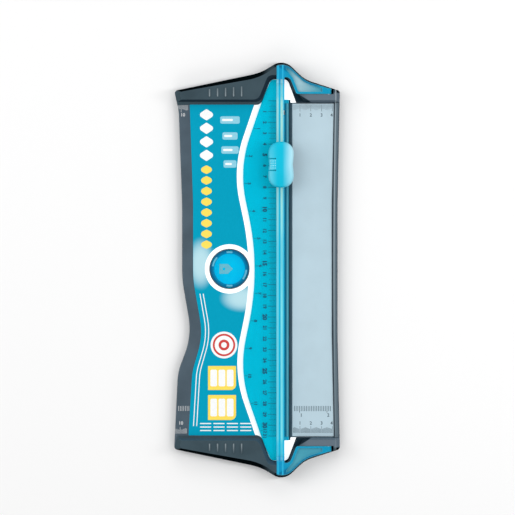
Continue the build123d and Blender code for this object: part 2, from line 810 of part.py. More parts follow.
# Slider carriage: a bridge with two guide posts, on two shoes that clip under the rail's head
ends = (1, -1)
with BuildPart() as carriage_plate:
    with Locations((rail_x, slider_y, bridge_bottom)):
        Box(bridge_width, carriage_length, bridge_height, align=(Align.CENTER, Align.CENTER, Align.MIN))
    with Locations(*((rail_x, slider_y + end * post_along, bridge_top) for end in ends)):
        Cylinder(post_radius, post_height, align=(Align.CENTER, Align.CENTER, Align.MIN))
    with Locations(*((rail_x, slider_y + end * spring_along, bridge_top) for end in ends)):
        Cylinder(spring_radius + spring_wire, 2 * spring_seat_depth, mode=Mode.SUBTRACT)
carriage_plate.part.label = "carriage_plate"
export_step(carriage_plate.part, "parts/carriage_plate.step")

shoe_bottom = ruler_top + seat_gap
shoe_inside = rail_width + 2 * rail_gap
shoe_along = (carriage_length - shoe_length) / 2
with BuildPart() as head_glide_shoe:
    with BuildSketch(Plane.XZ.offset(-slider_y - shoe_along)):
        with Locations((rail_x, shoe_bottom)):
            Rectangle(
                shoe_inside + 2 * shoe_wall,
                bridge_bottom - shoe_bottom,
                align=(Align.CENTER, Align.MIN),
            )
            Rectangle(
                shoe_inside - 2 * lip_reach,
                lip_height,
                align=(Align.CENTER, Align.MIN),
                mode=Mode.SUBTRACT,
            )
        with Locations((rail_x, shoe_bottom + lip_height)):
            Rectangle(
                shoe_inside,
                rail_top + rail_gap - shoe_bottom - lip_height,
                align=(Align.CENTER, Align.MIN),
                mode=Mode.SUBTRACT,
            )
    extrude(amount=shoe_length / 2, both=True)
    end_edges = head_glide_shoe.edges().filter_by(Axis.Z).group_by(Axis.Y)[-1].sort_by(Axis.X)
    fillet([end_edges[0], end_edges[-1]], shoe_edge)
head_glide_shoe.part.label = "head_glide_shoe"
export_step(head_glide_shoe.part, "parts/head_glide_shoe.step")

slider_middle = Plane.XZ.offset(-slider_y)
with BuildPart() as foot_glide_shoe:
    mirror(head_glide_shoe.part, about=slider_middle)
foot_glide_shoe.part.label = "foot_glide_shoe"
export_step(foot_glide_shoe.part, "parts/foot_glide_shoe.step")


# Thumb cap: a bowed shell with near-round ends, guide sockets, a rib over the blade and a tongue
def cap_corners(inset):
    """Corners of the cap's plan, moved in by an inset."""
    side = cap_width / 2 - inset
    end = cap_length / 2 - inset
    waist = side - cap_waist
    return [
        (cap_x - side, slider_y + end),
        (cap_x + side, slider_y + end),
        (cap_x + waist, slider_y),
        (cap_x + side, slider_y - end),
        (cap_x - side, slider_y - end),
        (cap_x - waist, slider_y),
    ]


def cap_radii(inset):
    """Radii of those corners, from a corner at the head."""
    end = cap_end_radius - inset
    return [end, end, cap_waist_radius, end, end, cap_waist_radius]


ceiling = cap_top - cap_crown - cap_ceiling
guide_bottom = cap_bottom + guide_setback
guide_top = bridge_top + post_height + press_travel + seat_gap
clamp_left = blade_left - clamp_thickness
cap_inside_right = cap_x + cap_width / 2 - cap_wall
blade_top = blade_tip + blade_length
with BuildPart() as slider_cap:
    extrude(plan(cap_corners(0), cap_radii(0), cap_bottom), amount=cap_height)
    with BuildSketch(Plane.YZ.offset(cap_x)):
        with BuildLine():
            crown = ThreePointArc(
                (slider_y - cap_length / 2, cap_top - cap_crown),
                (slider_y, cap_top),
                (slider_y + cap_length / 2, cap_top - cap_crown),
            )
            Polyline(
                crown @ 1,
                (slider_y + cap_length / 2, cap_bottom),
                (slider_y - cap_length / 2, cap_bottom),
                crown @ 0,
            )
        make_face()
    extrude(amount=cap_width, both=True, mode=Mode.INTERSECT)
    fillet(slider_cap.faces().sort_by(Axis.Z)[-1].edges(), cap_round)
    cap_hollow = plan(cap_corners(cap_wall), cap_radii(cap_wall), cap_bottom)
    extrude(cap_hollow, amount=ceiling - cap_bottom, mode=Mode.SUBTRACT)
    with Locations((clamp_left, slider_y, cap_bottom)):
        Box(
            cap_inside_right - clamp_left + cap_wall / 2,
            2 * holder_radius,
            ceiling - cap_bottom,
            align=(Align.MIN, Align.CENTER, Align.MIN),
        )
    with Locations((cut_x, slider_y, cap_bottom)):
        Box(
            blade_thickness + 2 * blade_slot_gap,
            blade_width + 2 * blade_slot_gap,
            blade_top - cap_bottom + blade_slot_gap,
            align=(Align.CENTER, Align.CENTER, Align.MIN),
            mode=Mode.SUBTRACT,
        )
    with Locations(*((rail_x, slider_y + end * post_along, guide_bottom) for end in ends)):
        Cylinder(
            post_radius + guide_gap + guide_wall,
            ceiling - guide_bottom,
            align=(Align.CENTER, Align.CENTER, Align.MIN),
        )
        Cylinder(
            post_radius + guide_gap,
            guide_top - guide_bottom,
            align=(Align.CENTER, Align.CENTER, Align.MIN),
            mode=Mode.SUBTRACT,
        )
    slit_places = [(cap_x - cap_width / 2, slider_y + end * tongue_width / 2, cap_bottom) for end in ends]
    with Locations(*slit_places):
        Box(
            tongue_reach,
            tongue_slit,
            cap_height,
            align=(Align.MIN, Align.CENTER, Align.MIN),
            mode=Mode.SUBTRACT,
        )
slider_cap.part.label = "slider_cap"
export_step(slider_cap.part, "parts/slider_cap.step")


# Half-round holder and clamp that grip the blade between them under the cap's rib, on a pin
def half_round(left, radius, thickness):
    """Half-round cheek that hangs from the cap, drilled for the blade's pin."""
    with BuildPart() as cheek:
        with BuildSketch(Plane((left, slider_y, cap_bottom), x_dir=(0, 1, 0), z_dir=(1, 0, 0))):
            Circle(radius)
            Rectangle(2 * radius, radius, align=(Align.CENTER, Align.MIN), mode=Mode.SUBTRACT)
            with Locations((0, pin_height - cap_bottom)):
                Circle(blade_pin_radius + fit_gap, mode=Mode.SUBTRACT)
        extrude(amount=thickness)
    return cheek


pin_height = blade_top - blade_hole_setback
blade_holder = half_round(blade_right, holder_radius, holder_thickness)
blade_holder.part.label = "blade_holder"
export_step(blade_holder.part, "parts/blade_holder.step")

blade_clamp = half_round(clamp_left, clamp_radius, clamp_thickness)
blade_clamp.part.label = "blade_clamp"
export_step(blade_clamp.part, "parts/blade_clamp.step")

with BuildPart() as cutting_blade:
    with BuildSketch(Plane((blade_left, slider_y, blade_tip), x_dir=(0, 0, -1), z_dir=(1, 0, 0))):
        with BuildLine():
            Polyline(*blade_corners(), close=True)
        make_face()
        with Locations((blade_hole_setback - blade_length, 0)):
            Circle(blade_hole_radius, mode=Mode.SUBTRACT)
    extrude(amount=blade_thickness)
cutting_blade.part.label = "cutting_blade"
export_step(cutting_blade.part, "parts/cutting_blade.step")

with BuildPart() as blade_pin:
    with BuildSketch(Plane((clamp_left + blade_pin_inset, slider_y, pin_height), z_dir=(1, 0, 0))):
        Circle(blade_pin_radius)
    extrude(amount=clamp_thickness + blade_thickness + holder_thickness - 2 * blade_pin_inset)
blade_pin.part.label = "blade_pin"
export_step(blade_pin.part, "parts/blade_pin.step")


# Return springs between the bridge and the cap's ceiling
def return_spring(along):
    """Coil spring standing in its seat on the bridge."""
    bottom = bridge_top - spring_seat_depth + spring_wire / 2
    height = ceiling - spring_wire / 2 - bottom
    with BuildPart() as spring:
        with BuildLine() as coil:
            Helix(height / spring_turns, height, spring_radius, center=(rail_x, along, bottom))
        with BuildSketch(Plane(coil.line @ 0, z_dir=coil.line % 0)):
            Circle(spring_wire / 2)
        sweep(is_frenet=True)
    return spring


head_return_spring = return_spring(slider_y + spring_along)
head_return_spring.part.label = "head_return_spring"
export_step(head_return_spring.part, "parts/head_return_spring.step")

foot_return_spring = return_spring(slider_y - spring_along)
foot_return_spring.part.label = "foot_return_spring"
export_step(foot_return_spring.part, "parts/foot_return_spring.step")
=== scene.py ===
import math

import bmesh
import bpy
from mathutils import Matrix, Vector


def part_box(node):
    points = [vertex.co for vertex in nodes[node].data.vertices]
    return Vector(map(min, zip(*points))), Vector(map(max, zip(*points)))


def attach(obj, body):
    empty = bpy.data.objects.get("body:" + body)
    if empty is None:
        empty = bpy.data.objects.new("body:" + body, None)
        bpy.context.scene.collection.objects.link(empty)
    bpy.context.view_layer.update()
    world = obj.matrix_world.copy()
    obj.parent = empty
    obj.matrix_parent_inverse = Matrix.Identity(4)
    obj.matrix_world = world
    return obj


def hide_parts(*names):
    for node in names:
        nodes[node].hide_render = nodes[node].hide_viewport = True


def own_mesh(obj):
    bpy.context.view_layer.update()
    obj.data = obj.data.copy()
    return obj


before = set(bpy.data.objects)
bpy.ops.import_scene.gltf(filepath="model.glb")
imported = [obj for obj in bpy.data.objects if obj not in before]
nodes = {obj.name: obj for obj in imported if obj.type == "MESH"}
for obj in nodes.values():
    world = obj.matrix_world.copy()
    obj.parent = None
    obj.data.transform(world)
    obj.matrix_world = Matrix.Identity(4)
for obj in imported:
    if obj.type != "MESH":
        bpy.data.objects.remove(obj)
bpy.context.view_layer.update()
MM = 0.001
X, Y, Z = 0, 1, 2


def span(node, axis):
    """Lowest and highest place of a CAD node along an axis, to a hundredth of a millimetre."""
    return [round(corner[axis] / MM, 2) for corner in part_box(node)]


def middle(node, axis):
    """Middle of a CAD node along an axis, in millimetres."""
    return sum(span(node, axis)) / 2


# Sizes and places in millimetres, most read from the CAD nodes: X across the bed, Y towards the head, Z up
RAIL_X, SLIDER_Y = middle("carriage_plate", X), middle("carriage_plate", Y)
BED_HALF = span("head_end_block", Y)[0]
BED_TOP, CARD_TOP = span("bed_card", Z)
RULER_THICK = 2.5
RULER_TOP = span("ruler", Z)[0] + RULER_THICK
WELL = (middle("storage_lid", X), middle("storage_lid", Y))
CAP_X = middle("slider_cap", X)
PRINT = 0.03


# Colours

def srgb(r, g, b):
    """Linear colour of an 8-bit screen colour."""
    def channel(value):
        share = value / 255
        return share / 12.92 if share <= 0.04045 else ((share + 0.055) / 1.055) ** 2.4
    return (channel(r), channel(g), channel(b), 1.0)


def shade(tone, factor):
    """A colour made lighter or darker by a factor."""
    return tuple(min(1.0, channel * factor) for channel in tone[:3]) + (1.0,)


# Materials

# Parts of a noise's range that a ramp runs over
TIGHT, USUAL, BROAD, WIDE = (0.35, 0.65), (0.3, 0.7), (0.25, 0.75), (0.2, 0.8)
# How far up a surface faces: a wall up to the first, level from the second
LEVEL = (0.8, 0.97)
# How alike a surface and its rounding face: an edge up to the first, none from the second
SHARP = (0.9, 0.99)
# Share of a printed colour that its darkest specks have
SPECKS = 0.95


class Nodes:
    """A material's node tree, with short calls to add nodes to it."""

    def __init__(self, name):
        self.material = bpy.data.materials.new(name)
        self.material.use_nodes = True
        self.tree = self.material.node_tree
        self.tree.nodes.clear()
        self.output = self.add("ShaderNodeOutputMaterial")
        self.place = self.add("ShaderNodeTexCoord").outputs["Object"]
        self.x, self.y, self.z = self.add("ShaderNodeSeparateXYZ", Vector=self.place).outputs

    def add(self, kind, settings=None, **sockets):
        """A new node, with values or links for its named sockets."""
        node = self.tree.nodes.new(kind)
        for key, value in (settings or {}).items():
            setattr(node, key, value)
        for key, value in sockets.items():
            self.put(node, key.replace("_", " "), value)
        return node

    def put(self, node, key, value):
        """Gives an input, by its name or number, a value or a link."""
        socket = node.inputs[int(key)] if key.isdigit() else node.inputs[key]
        if isinstance(value, bpy.types.NodeSocket):
            self.tree.links.new(value, socket)
        else:
            socket.default_value = value

    def math(self, operation, first, second=0.0):
        node = self.add("ShaderNodeMath", {"operation": operation})
        self.put(node, "0", first)
        self.put(node, "1", second)
        return node.outputs[0]

    def times(self, *masks):
        """Product of several masks."""
        product = masks[0]
        for mask in masks[1:]:
            product = self.math("MULTIPLY", product, mask)
        return product

    def noise(self, scale, detail=2.0, stretch=None):
        place = self.place
        if stretch:
            place = self.add("ShaderNodeMapping", Vector=place, Scale=stretch).outputs[0]
        return self.add("ShaderNodeTexNoise", Vector=place, Scale=scale, Detail=detail).outputs["Fac"]

    def ramp(self, value, low, high, start=0.0, end=1.0):
        """Goes smoothly from start to end while a value goes from low to high."""
        return self.add("ShaderNodeMapRange", {"interpolation_type": "SMOOTHSTEP"}, Value=value,
                        From_Min=low, From_Max=high, To_Min=start, To_Max=end).outputs[0]

    def fade(self, place, low, high, start=0.0, end=1.0):
        """The same for a place in millimetres."""
        return self.ramp(place, low * MM, high * MM, start, end)

    def between(self, place, rise, fall, amount=1.0):
        """Mask that fades in over one stretch and out over the next, each (start, end) in millimetres."""
        return self.times(self.fade(place, *rise), self.fade(place, *fall, amount, 0.0))

    def blend(self, share, first, second):
        node = self.add("ShaderNodeMix", {"data_type": "RGBA"})
        self.put(node, "0", share)
        self.put(node, "6", first)
        self.put(node, "7", second)
        return node.outputs[2]

    def away(self):
        """Distance along Y from the bed's middle, towards the head or the foot."""
        return self.math("ABSOLUTE", self.y)

    def slanted(self, slope):
        """That distance plus a share of X: level along a slanting line."""
        return self.math("ADD", self.away(), self.math("MULTIPLY", self.x, slope))

    def facing(self):
        """Way that the surface faces: across, along and up."""
        flat = self.add("ShaderNodeNewGeometry").outputs["Normal"]
        return self.add("ShaderNodeSeparateXYZ", Vector=flat).outputs

    def bump(self, height, depth, strength):
        return self.add("ShaderNodeBump", Height=height, Distance=depth, Strength=strength).outputs[0]

    def edges(self, radius):
        """Places within a radius of a sharp edge, in millimetres."""
        flat = self.add("ShaderNodeNewGeometry").outputs["Normal"]
        soft = self.add("ShaderNodeBevel", {"samples": 6}, Radius=radius * MM).outputs[0]
        turn = self.add("ShaderNodeVectorMath", {"operation": "DOT_PRODUCT"})
        self.put(turn, "0", flat)
        self.put(turn, "1", soft)
        return self.ramp(turn.outputs["Value"], *SHARP, 1.0, 0.0)

    def principled(self, **sockets):
        return self.add("ShaderNodeBsdfPrincipled", **sockets).outputs[0]

    def surface(self, shader):
        """The finished material."""
        self.put(self.output, "Surface", shader)
        return self.material


def plastic(name, tone, rough, cloud=0.12, grain=2600.0, grain_depth=0.00003, coat=0.0, coat_rough=0.08,
            gloss=0.5, wall_shade_tones=None, edge_highlight_tone=None, accents=(), glow_strength=0.0):
    """Moulded plastic: slightly cloudy colour, a fine spark-eroded grain and uneven gloss.

    The wall tones paint light and shade on steep walls: near-black shade on those that face out along Y, a
    darker tone for those that face the bed at the head and a lighter one at the foot. The edge highlight tone
    paints a highlight along edges, in patches. An accent is (mask, tone); some accents are painted light or
    shade. The glow strength makes the plastic glow, which is painted light."""
    uneven = 0.07
    n = Nodes(name)
    clouds = n.ramp(n.noise(scale=38.0, detail=4.0), *USUAL)
    colour = n.blend(clouds, shade(tone, 1 - cloud), shade(tone, 1 + cloud))
    # Painted light and shade: steep walls take a darker or lighter tone by the way they face
    if wall_shade_tones:
        out_shade, head_shade, foot_shade = wall_shade_tones
        across, along, up = n.facing()
        steep = n.times(n.ramp(up, *LEVEL, 1.0, 0.0), n.ramp(across, -0.6, -0.35))
        outward = n.times(along, n.math("SIGN", n.y))
        inner = n.blend(n.math("GREATER_THAN", n.y, 0.0), foot_shade, head_shade)
        colour = n.blend(steep, colour, n.blend(n.ramp(outward, -0.1, 0.2), inner, out_shade))
    for place, accent in accents:
        colour = n.blend(place(n), colour, accent)
    # Painted highlight along edges, broken into patches
    if edge_highlight_tone:
        patchy = n.ramp(n.noise(scale=160.0, detail=3.0), 0.3, 0.6, 0.28, 0.5)
        colour = n.blend(n.times(n.edges(0.55), patchy), colour, edge_highlight_tone)
    fine = n.noise(grain, detail=3.0)
    return n.surface(n.principled(
        Base_Color=colour,
        Roughness=n.ramp(fine, *BROAD, rough - uneven, rough + uneven),
        Specular_IOR_Level=gloss,
        Coat_Weight=coat,
        Coat_Roughness=coat_rough,
        Emission_Color=colour,
        Emission_Strength=glow_strength,
        Normal=n.bump(fine, grain_depth, strength=0.6)))


def steel(name, tone, rough, stretch, metal=1.0):
    """Ground steel with fine drawn lines along one way."""
    dark, smoother, rougher = 0.8, 0.08, 0.1
    n = Nodes(name)
    lines = n.noise(900.0, 4.0, stretch)
    return n.surface(n.principled(
        Base_Color=n.blend(n.ramp(lines, *USUAL), shade(tone, dark), tone),
        Metallic=metal,
        Roughness=n.ramp(lines, *WIDE, rough - smoother, rough + rougher),
        Normal=n.bump(lines, depth=0.00001, strength=0.5)))


def clear(name, tint, body, share, zones, gloss, skin_from=None):
    """See-through moulded plastic: tinted, glossy, with a little body colour and faint flow marks.

    share is how much of the body colour shows. A zone is (mask, tone, share): a place with its own.
    Below the height skin_from there is no body colour, as in a thin moulding coloured on one face."""
    edge_share, rough, rougher, skin_fade = 0.95, 0.06, 0.11, 0.2
    n = Nodes(name)
    flow = n.noise(30.0, 3.0, stretch=(1.0, 0.25, 1.0))
    see_tone = n.blend(n.ramp(flow, *USUAL), shade(tint, 0.985), tint)
    edge = n.add("ShaderNodeLayerWeight", Blend=0.25).outputs["Fresnel"]
    amount = n.ramp(edge, 0.0, 1.0, share, edge_share)
    tone = body
    for zone, zone_tone, zone_share in zones:
        mask = zone(n)
        tone = n.blend(mask, tone, zone_tone)
        amount = n.math("MAXIMUM", amount, n.times(mask, zone_share))
    if skin_from:
        amount = n.times(amount, n.fade(n.z, skin_from - skin_fade, skin_from))
    skin = n.principled(
        Base_Color=tone,
        Roughness=n.ramp(n.noise(700.0), *USUAL, rough, rougher),
        Specular_IOR_Level=gloss,
        Normal=n.bump(flow, depth=0.0002, strength=0.25))
    mixed = n.add("ShaderNodeMixShader")
    n.put(mixed, "0", amount)
    n.put(mixed, "1", n.add("ShaderNodeBsdfTransparent", Color=see_tone).outputs[0])
    n.put(mixed, "2", skin)
    return n.surface(mixed.outputs[0])


def ink(name, tone, rough=0.5):
    """Printing ink with slight uneven cover."""
    uneven = 0.06
    n = Nodes(name)
    cover = n.ramp(n.noise(900.0, 3.0), *TIGHT)
    return n.surface(n.principled(
        Base_Color=n.blend(cover, shade(tone, SPECKS), tone),
        Roughness=n.ramp(cover, 0.0, 1.0, rough + uneven, rough - uneven),
        Specular_IOR_Level=0.2))


def board(name, tone, glow=None, glow_strength=0.0, bleed=None, glow_patch=None):
    """Coated card: faint paper fibre under a printed face, and a glow of painted light where one is given.

    glow is a mask of paler print, bleed is (mask, tone): where the print runs over the card's edge,
    and the glow patch is a mask where more painted light glows."""
    glow_gain, rough, rougher = 0.4, 0.34, 0.46
    n = Nodes(name)
    fibre = n.noise(1400.0, 4.0, stretch=(1.0, 0.35, 1.0))
    colour = n.blend(n.ramp(fibre, *USUAL), shade(tone, SPECKS), tone)
    if glow:
        colour = n.blend(glow(n), colour, GLOW_TONE)
    if bleed:
        colour = n.blend(bleed[0](n), colour, bleed[1])
    # Painted light: the card glows more where the patch is
    if glow_patch:
        glow_strength = n.ramp(glow_patch(n), 0.0, 1.0, glow_strength, glow_strength + glow_gain)
    return n.surface(n.principled(
        Base_Color=colour,
        Roughness=n.ramp(fibre, *WIDE, rough, rougher),
        Specular_IOR_Level=0.04,
        Emission_Color=colour,
        Emission_Strength=glow_strength,
        Normal=n.bump(fibre, depth=0.00002, strength=0.4)))


# Masks: places on the pieces with a tone of their own or with painted light or shade, in millimetres

def rail_ridges(n):
    """Painted highlights on the running faces on top of the rail, either side of its groove."""
    left = n.between(n.x, (17.2, 18.0), (19.5, 20.4), 0.72)
    right = n.between(n.x, (21.2, 22.3), (22.7, 24.9))
    patchiness = n.ramp(n.noise(26.0, 3.0, stretch=(1.0, 0.6, 1.0)), *TIGHT, 0.8, 1.0)
    inside = n.fade(n.away(), 154.0, 162.0, 1.0, 0.45)
    return n.times(n.math("MAXIMUM", left, right), n.fade(n.z, 16.9, 17.5), patchiness, inside)


def head_ridges(n):
    """The same painted highlights, whiter towards the head."""
    return n.times(rail_ridges(n), n.fade(n.y, 0.0, 110.0))


def wing_floor(n):
    """Painted reflection on the floor of a wing's recess, broken by faint streaks."""
    streaks = n.ramp(n.noise(70.0, 3.0, stretch=(0.35, 1.0, 1.0)), *USUAL, 0.85, 1.0)
    return n.times(n.between(n.z, (16.6, 17.0), (17.4, 17.8)), streaks)


def floor_gleam(n):
    """Brighter painted reflection in the middle of that floor, in the wing at the head."""
    spot = n.between(n.x, (27.0, 39.0), (40.0, 60.0))
    return n.times(wing_floor(n), spot, n.math("GREATER_THAN", n.y, 0.0))


def box_lines(n):
    """Two painted highlight lines on a wing's box, in line with the highlights on the rail's running faces.
    """
    off = n.math("ABSOLUTE", n.math("SUBTRACT", n.x, RAIL_X * MM))
    return n.between(off, (1.2, 1.7), (2.5, 3.2))


def clear_edges(n):
    """Painted highlight along the edges of a clear moulding."""
    return n.edges(0.8)


def outer_rim(n):
    """Painted shade along the outer rims of the wings."""
    rim_band = n.fade(n.slanted(0.595), 198.0, 201.0)
    return n.times(rim_band, n.fade(n.x, 54.0, 60.0, 1.0, 0.0), n.fade(n.z, 17.5, 18.0))


def above_flat(n):
    """Height of the rail, above the flat of the ruler."""
    return n.fade(n.z, 13.6, 14.2)


def rail_ends(n):
    """Ends of the rail, over the end blocks."""
    return n.times(n.fade(n.away(), 171.0, 173.0), above_flat(n))


def whole_rail(n):
    """Rail of the ruler."""
    return n.times(n.between(n.x, (17.7, 18.0), (25.2, 25.5)), above_flat(n))


def cut_flange(n):
    """Flange of the ruler beside the cut line."""
    return n.fade(n.x, 25.2, 25.5)


def flange_root(n):
    """Root of that flange, beside the rail."""
    return n.between(n.x, (25.2, 25.5), (26.4, 27.3))


def flange_line(n):
    """Painted highlight: a light line near the flange's free edge."""
    return n.between(n.x, (27.0, 27.9), (28.5, 29.3))


def flange_tips(n):
    """Ends of that flange, over the white of the card."""
    return n.times(cut_flange(n), n.fade(n.away(), 153.6, 154.6))


def rail_cover(n):
    """Box of a wing over the rail's end."""
    return n.fade(n.x, 25.6, 26.2, 1.0, 0.0)


def from_point(n, x0, y0, reach_x, reach_y):
    """Square of the distance from a point in plan, in units of the reach."""
    across = n.math("DIVIDE", n.math("SUBTRACT", n.x, x0 * MM), reach_x * MM)
    along = n.math("DIVIDE", n.math("SUBTRACT", n.y, y0 * MM), reach_y * MM)
    return n.math("ADD", n.times(across, across), n.times(along, along))


def lid_ring(n, start, full):
    """Places outside a circle on the storage lid, which fades in between two radii."""
    return n.ramp(n.math("SQRT", from_point(n, *WELL, 1.0, 1.0)), start, full)


def lid_rim(n):
    """Rim of the storage lid, outside its window."""
    return lid_ring(n, 13.9, 14.7)


def rim_outside(n):
    """Outer part of the storage lid's rim."""
    return lid_ring(n, 15.2, 16.8)


def soft_spot(n, *place_and_reach):
    """Patch that fades out from a point."""
    return n.ramp(from_point(n, *place_and_reach), 0.0, 1.0, 0.85, 0.0)


def lid_glow(n):
    """Two pale sweeps in the print beside the lid."""
    return n.math("MAXIMUM", soft_spot(n, -52.0, 6.0, 14.0, 26.0), soft_spot(n, -14.0, -26.0, 22.0, 14.0))


def finger_ribs(n):
    """Painted highlight on top of the finger ribs of the end blocks, strongest towards the bed."""
    loss = n.times(n.fade(n.away(), 160.0, 170.0), n.fade(n.y, -1.0, 1.0, 0.95, 0.5))
    return n.times(n.fade(n.z, 18.7, 18.9), n.math("SUBTRACT", 1.0, loss))


def from_waist(n):
    """Place across X, with the waist of the bed's right side taken out."""
    waist_depth, waist_half = 1.5, 150.0
    along = n.math("DIVIDE", n.y, waist_half * MM)
    waist = n.math("MAXIMUM", 0.0, n.math("SUBTRACT", 1.0, n.times(along, along)))
    return n.math("ADD", n.x, n.math("MULTIPLY", waist, waist_depth * MM))


def right_rim(n):
    """Painted sheen on the raised rim along the bed's right side."""
    return n.times(n.fade(from_waist(n), 71.6, 72.2), n.fade(n.z, 10.2, 10.9))


def right_gap(n):
    """Painted shade in the gap between the light plate and that rim."""
    return n.between(from_waist(n), (70.4, 70.8), (71.8, 72.2))


def right_line(n):
    """Painted highlight: a light line along that rim's inner edge, carried on over the end blocks and duller
    at the foot.
    """
    line = n.between(from_waist(n), (72.0, 72.5), (73.0, 73.6))
    return n.times(line, n.fade(n.y, -150.0, 80.0, 0.25, 1.0), n.fade(n.z, 10.8, 11.3))


def stop_tops(n):
    """Painted light on the flat tops of the stop walls, right of the arches."""
    deep = n.between(n.away(), (154.6, 156.0), (163.0, 164.5))
    return n.times(deep, n.fade(n.x, 36.0, 48.0, 0.0, 0.8))


def arch_walls(n):
    """Painted shade on the right walls of the arches, which face the rail."""
    across, _, up = n.facing()
    steep = n.times(n.ramp(up, *LEVEL, 1.0, 0.0), n.ramp(across, -0.35, -0.2, 1.0, 0.0))
    return n.times(steep, n.math("GREATER_THAN", n.x, RAIL_X * MM))


def stop_corner(n):
    """Painted shade in the hollowed corner between an arch and the stop wall right of it."""
    return n.times(n.fade(n.slanted(0.605), 184.9, 186.0, 1.0, 0.0), n.fade(n.x, 27.0, 28.0))


def hinge_gap(n):
    """Painted shade in the gap beside a wing's hinge."""
    across = n.between(n.x, (67.0, 67.6), (71.7, 72.0))
    along = n.between(n.away(), (162.4, 163.0), (168.6, 169.2))
    return n.times(across, along, n.fade(n.z, 17.6, 18.2, 1.0, 0.0))


def cap_right(n):
    """Painted sheen on the right flank of the thumb cap, paler towards its edge and its head."""
    return n.times(n.fade(n.x, 22.8, 34.0), n.fade(n.y, 80.0, 108.0, 0.72, 1.0))


def cap_left(n):
    """Painted sheen on the left flank of the thumb cap, paler towards its foot."""
    return n.times(n.fade(n.x, 11.0, 19.5, 0.5, 0.0), n.fade(n.y, 86.0, 112.0, 1.0, 0.35))


def card_margin(n):
    """Left margin of the card, where the teal print runs over its edge."""
    return n.math("LESS_THAN", n.x, -49.6 * MM)


def card_tabs(n):
    """White tabs of the card right of the rail, at the head and the foot, where the card glows brighter:
    painted light.
    """
    return n.times(n.fade(n.x, 25.0, 25.6), n.fade(n.away(), 140.0, 146.0))


# Looks of the pieces
TEAL_TONE = srgb(1, 156, 188)
GLOW_TONE = srgb(196, 229, 236)
# Drawn lines of the steels: how much finer their noise is along X, Y and Z
BLADE_LINES, PIN_LINES, SPRING_LINES = (1.0, 14.0, 1.0), (6.0, 6.0, 1.0), (1.0, 1.0, 8.0)
# Charcoal with painted shade and light on its steep walls, a painted edge highlight, and accents of painted
# highlight and shade
CHARCOAL = plastic(
    "charcoal", srgb(61, 77, 85), 0.55, gloss=0.0,
    wall_shade_tones=(srgb(3, 9, 12), srgb(40, 55, 65), srgb(64, 88, 102)), edge_highlight_tone=srgb(84, 100, 108),
    accents=[
        (finger_ribs, srgb(126, 138, 144)),
        (stop_tops, srgb(104, 118, 130)),
        (stop_corner, srgb(22, 38, 48)),
        (arch_walls, srgb(10, 28, 38)),
        (hinge_gap, srgb(8, 14, 22)),
        (right_line, srgb(146, 158, 165)),
    ])
TRAY = plastic(
    "tray_charcoal", srgb(72, 87, 98), 0.55, gloss=0.15, edge_highlight_tone=srgb(140, 152, 160),
    accents=[
        (right_rim, srgb(90, 107, 117)),
        (right_gap, srgb(36, 50, 60)),
        (right_line, srgb(140, 155, 163)),
    ])
PLATE = plastic("plate_grey", srgb(179, 202, 213), 0.4, cloud=0.03, grain_depth=0.000012, gloss=0.3,
                edge_highlight_tone=srgb(214, 226, 232))
MAT = plastic("mat_dark", srgb(52, 78, 92), 0.65, gloss=0.2, edge_highlight_tone=srgb(78, 102, 116))
# The card glows a little, and more in its tabs: painted light
CARD = board("card_white", srgb(250, 251, 251), glow_strength=0.22, bleed=(card_margin, TEAL_TONE),
             glow_patch=card_tabs)
TEAL = board("card_teal", TEAL_TONE, lid_glow)
# The cup glows a little: painted light
CUP = plastic("cup_cyan", srgb(0, 220, 255), 0.4, cloud=0.02, gloss=0.1, glow_strength=0.1)
RUBBER = plastic("foot_rubber", srgb(34, 35, 38), 0.8, grain=900.0)
CARRIAGE = plastic("carriage_grey", srgb(52, 62, 70), 0.45)
BLADE = steel("blade_steel", (0.62, 0.64, 0.66, 1.0), 0.28, BLADE_LINES)
SPARE = steel("spare_blade_steel", (1.0, 0.8, 0.68, 1.0), 0.45, BLADE_LINES, metal=0.15)
PIN = steel("fastener_steel", (0.5, 0.5, 0.52, 1.0), 0.35, PIN_LINES)
SPRING = steel("spring_steel", (0.55, 0.55, 0.57, 1.0), 0.3, SPRING_LINES)
RULER = clear("clear_blue", (0.08, 0.845, 0.905, 1.0), srgb(4, 186, 222), 0.06, [
    (cut_flange, srgb(40, 146, 175), 0.62),
    (flange_root, srgb(0, 126, 160), 0.72),
    (flange_line, srgb(104, 192, 210), 0.7),
    (flange_tips, srgb(0, 178, 212), 0.8),
    (whole_rail, srgb(6, 198, 240), 0.62),
    (rail_ends, srgb(6, 168, 222), 0.8),
    (rail_ridges, srgb(150, 244, 248), 0.8),
    (head_ridges, srgb(206, 246, 224), 0.84),
], gloss=0.3)
WING = clear("wing_blue", (0.2, 0.8, 0.93, 1.0), srgb(6, 166, 208), 0.72, [
    (wing_floor, srgb(84, 172, 190), 0.88),
    (floor_gleam, srgb(166, 206, 216), 0.9),
    (rail_cover, srgb(4, 166, 216), 0.7),
    (outer_rim, srgb(2, 118, 160), 0.85),
    (box_lines, srgb(40, 190, 232), 0.8),
    (clear_edges, srgb(76, 186, 214), 0.8),
], gloss=0.3)
LID = clear("lid_blue", (0.84, 0.98, 0.99, 1.0), srgb(0, 210, 249), 0.32, [
    (lid_rim, srgb(4, 124, 172), 0.8),
    (rim_outside, srgb(10, 96, 136), 0.86),
], skin_from=9.6, gloss=0.12)
CYAN = plastic(
    "slider_cyan", srgb(2, 186, 216), 0.3, cloud=0.03, grain_depth=0.000004, coat=0.15, coat_rough=0.28,
    gloss=0.1, accents=[(cap_right, srgb(180, 230, 244)), (cap_left, srgb(120, 210, 226))])
GRIP = plastic("grip_cyan", srgb(132, 220, 238), 0.35, cloud=0.03, grain_depth=0.000004, coat=0.3, gloss=0.4)
SCALE_INK = ink("scale_ink", srgb(0, 84, 114))
PLATE_INK = ink("plate_ink", srgb(74, 92, 103))
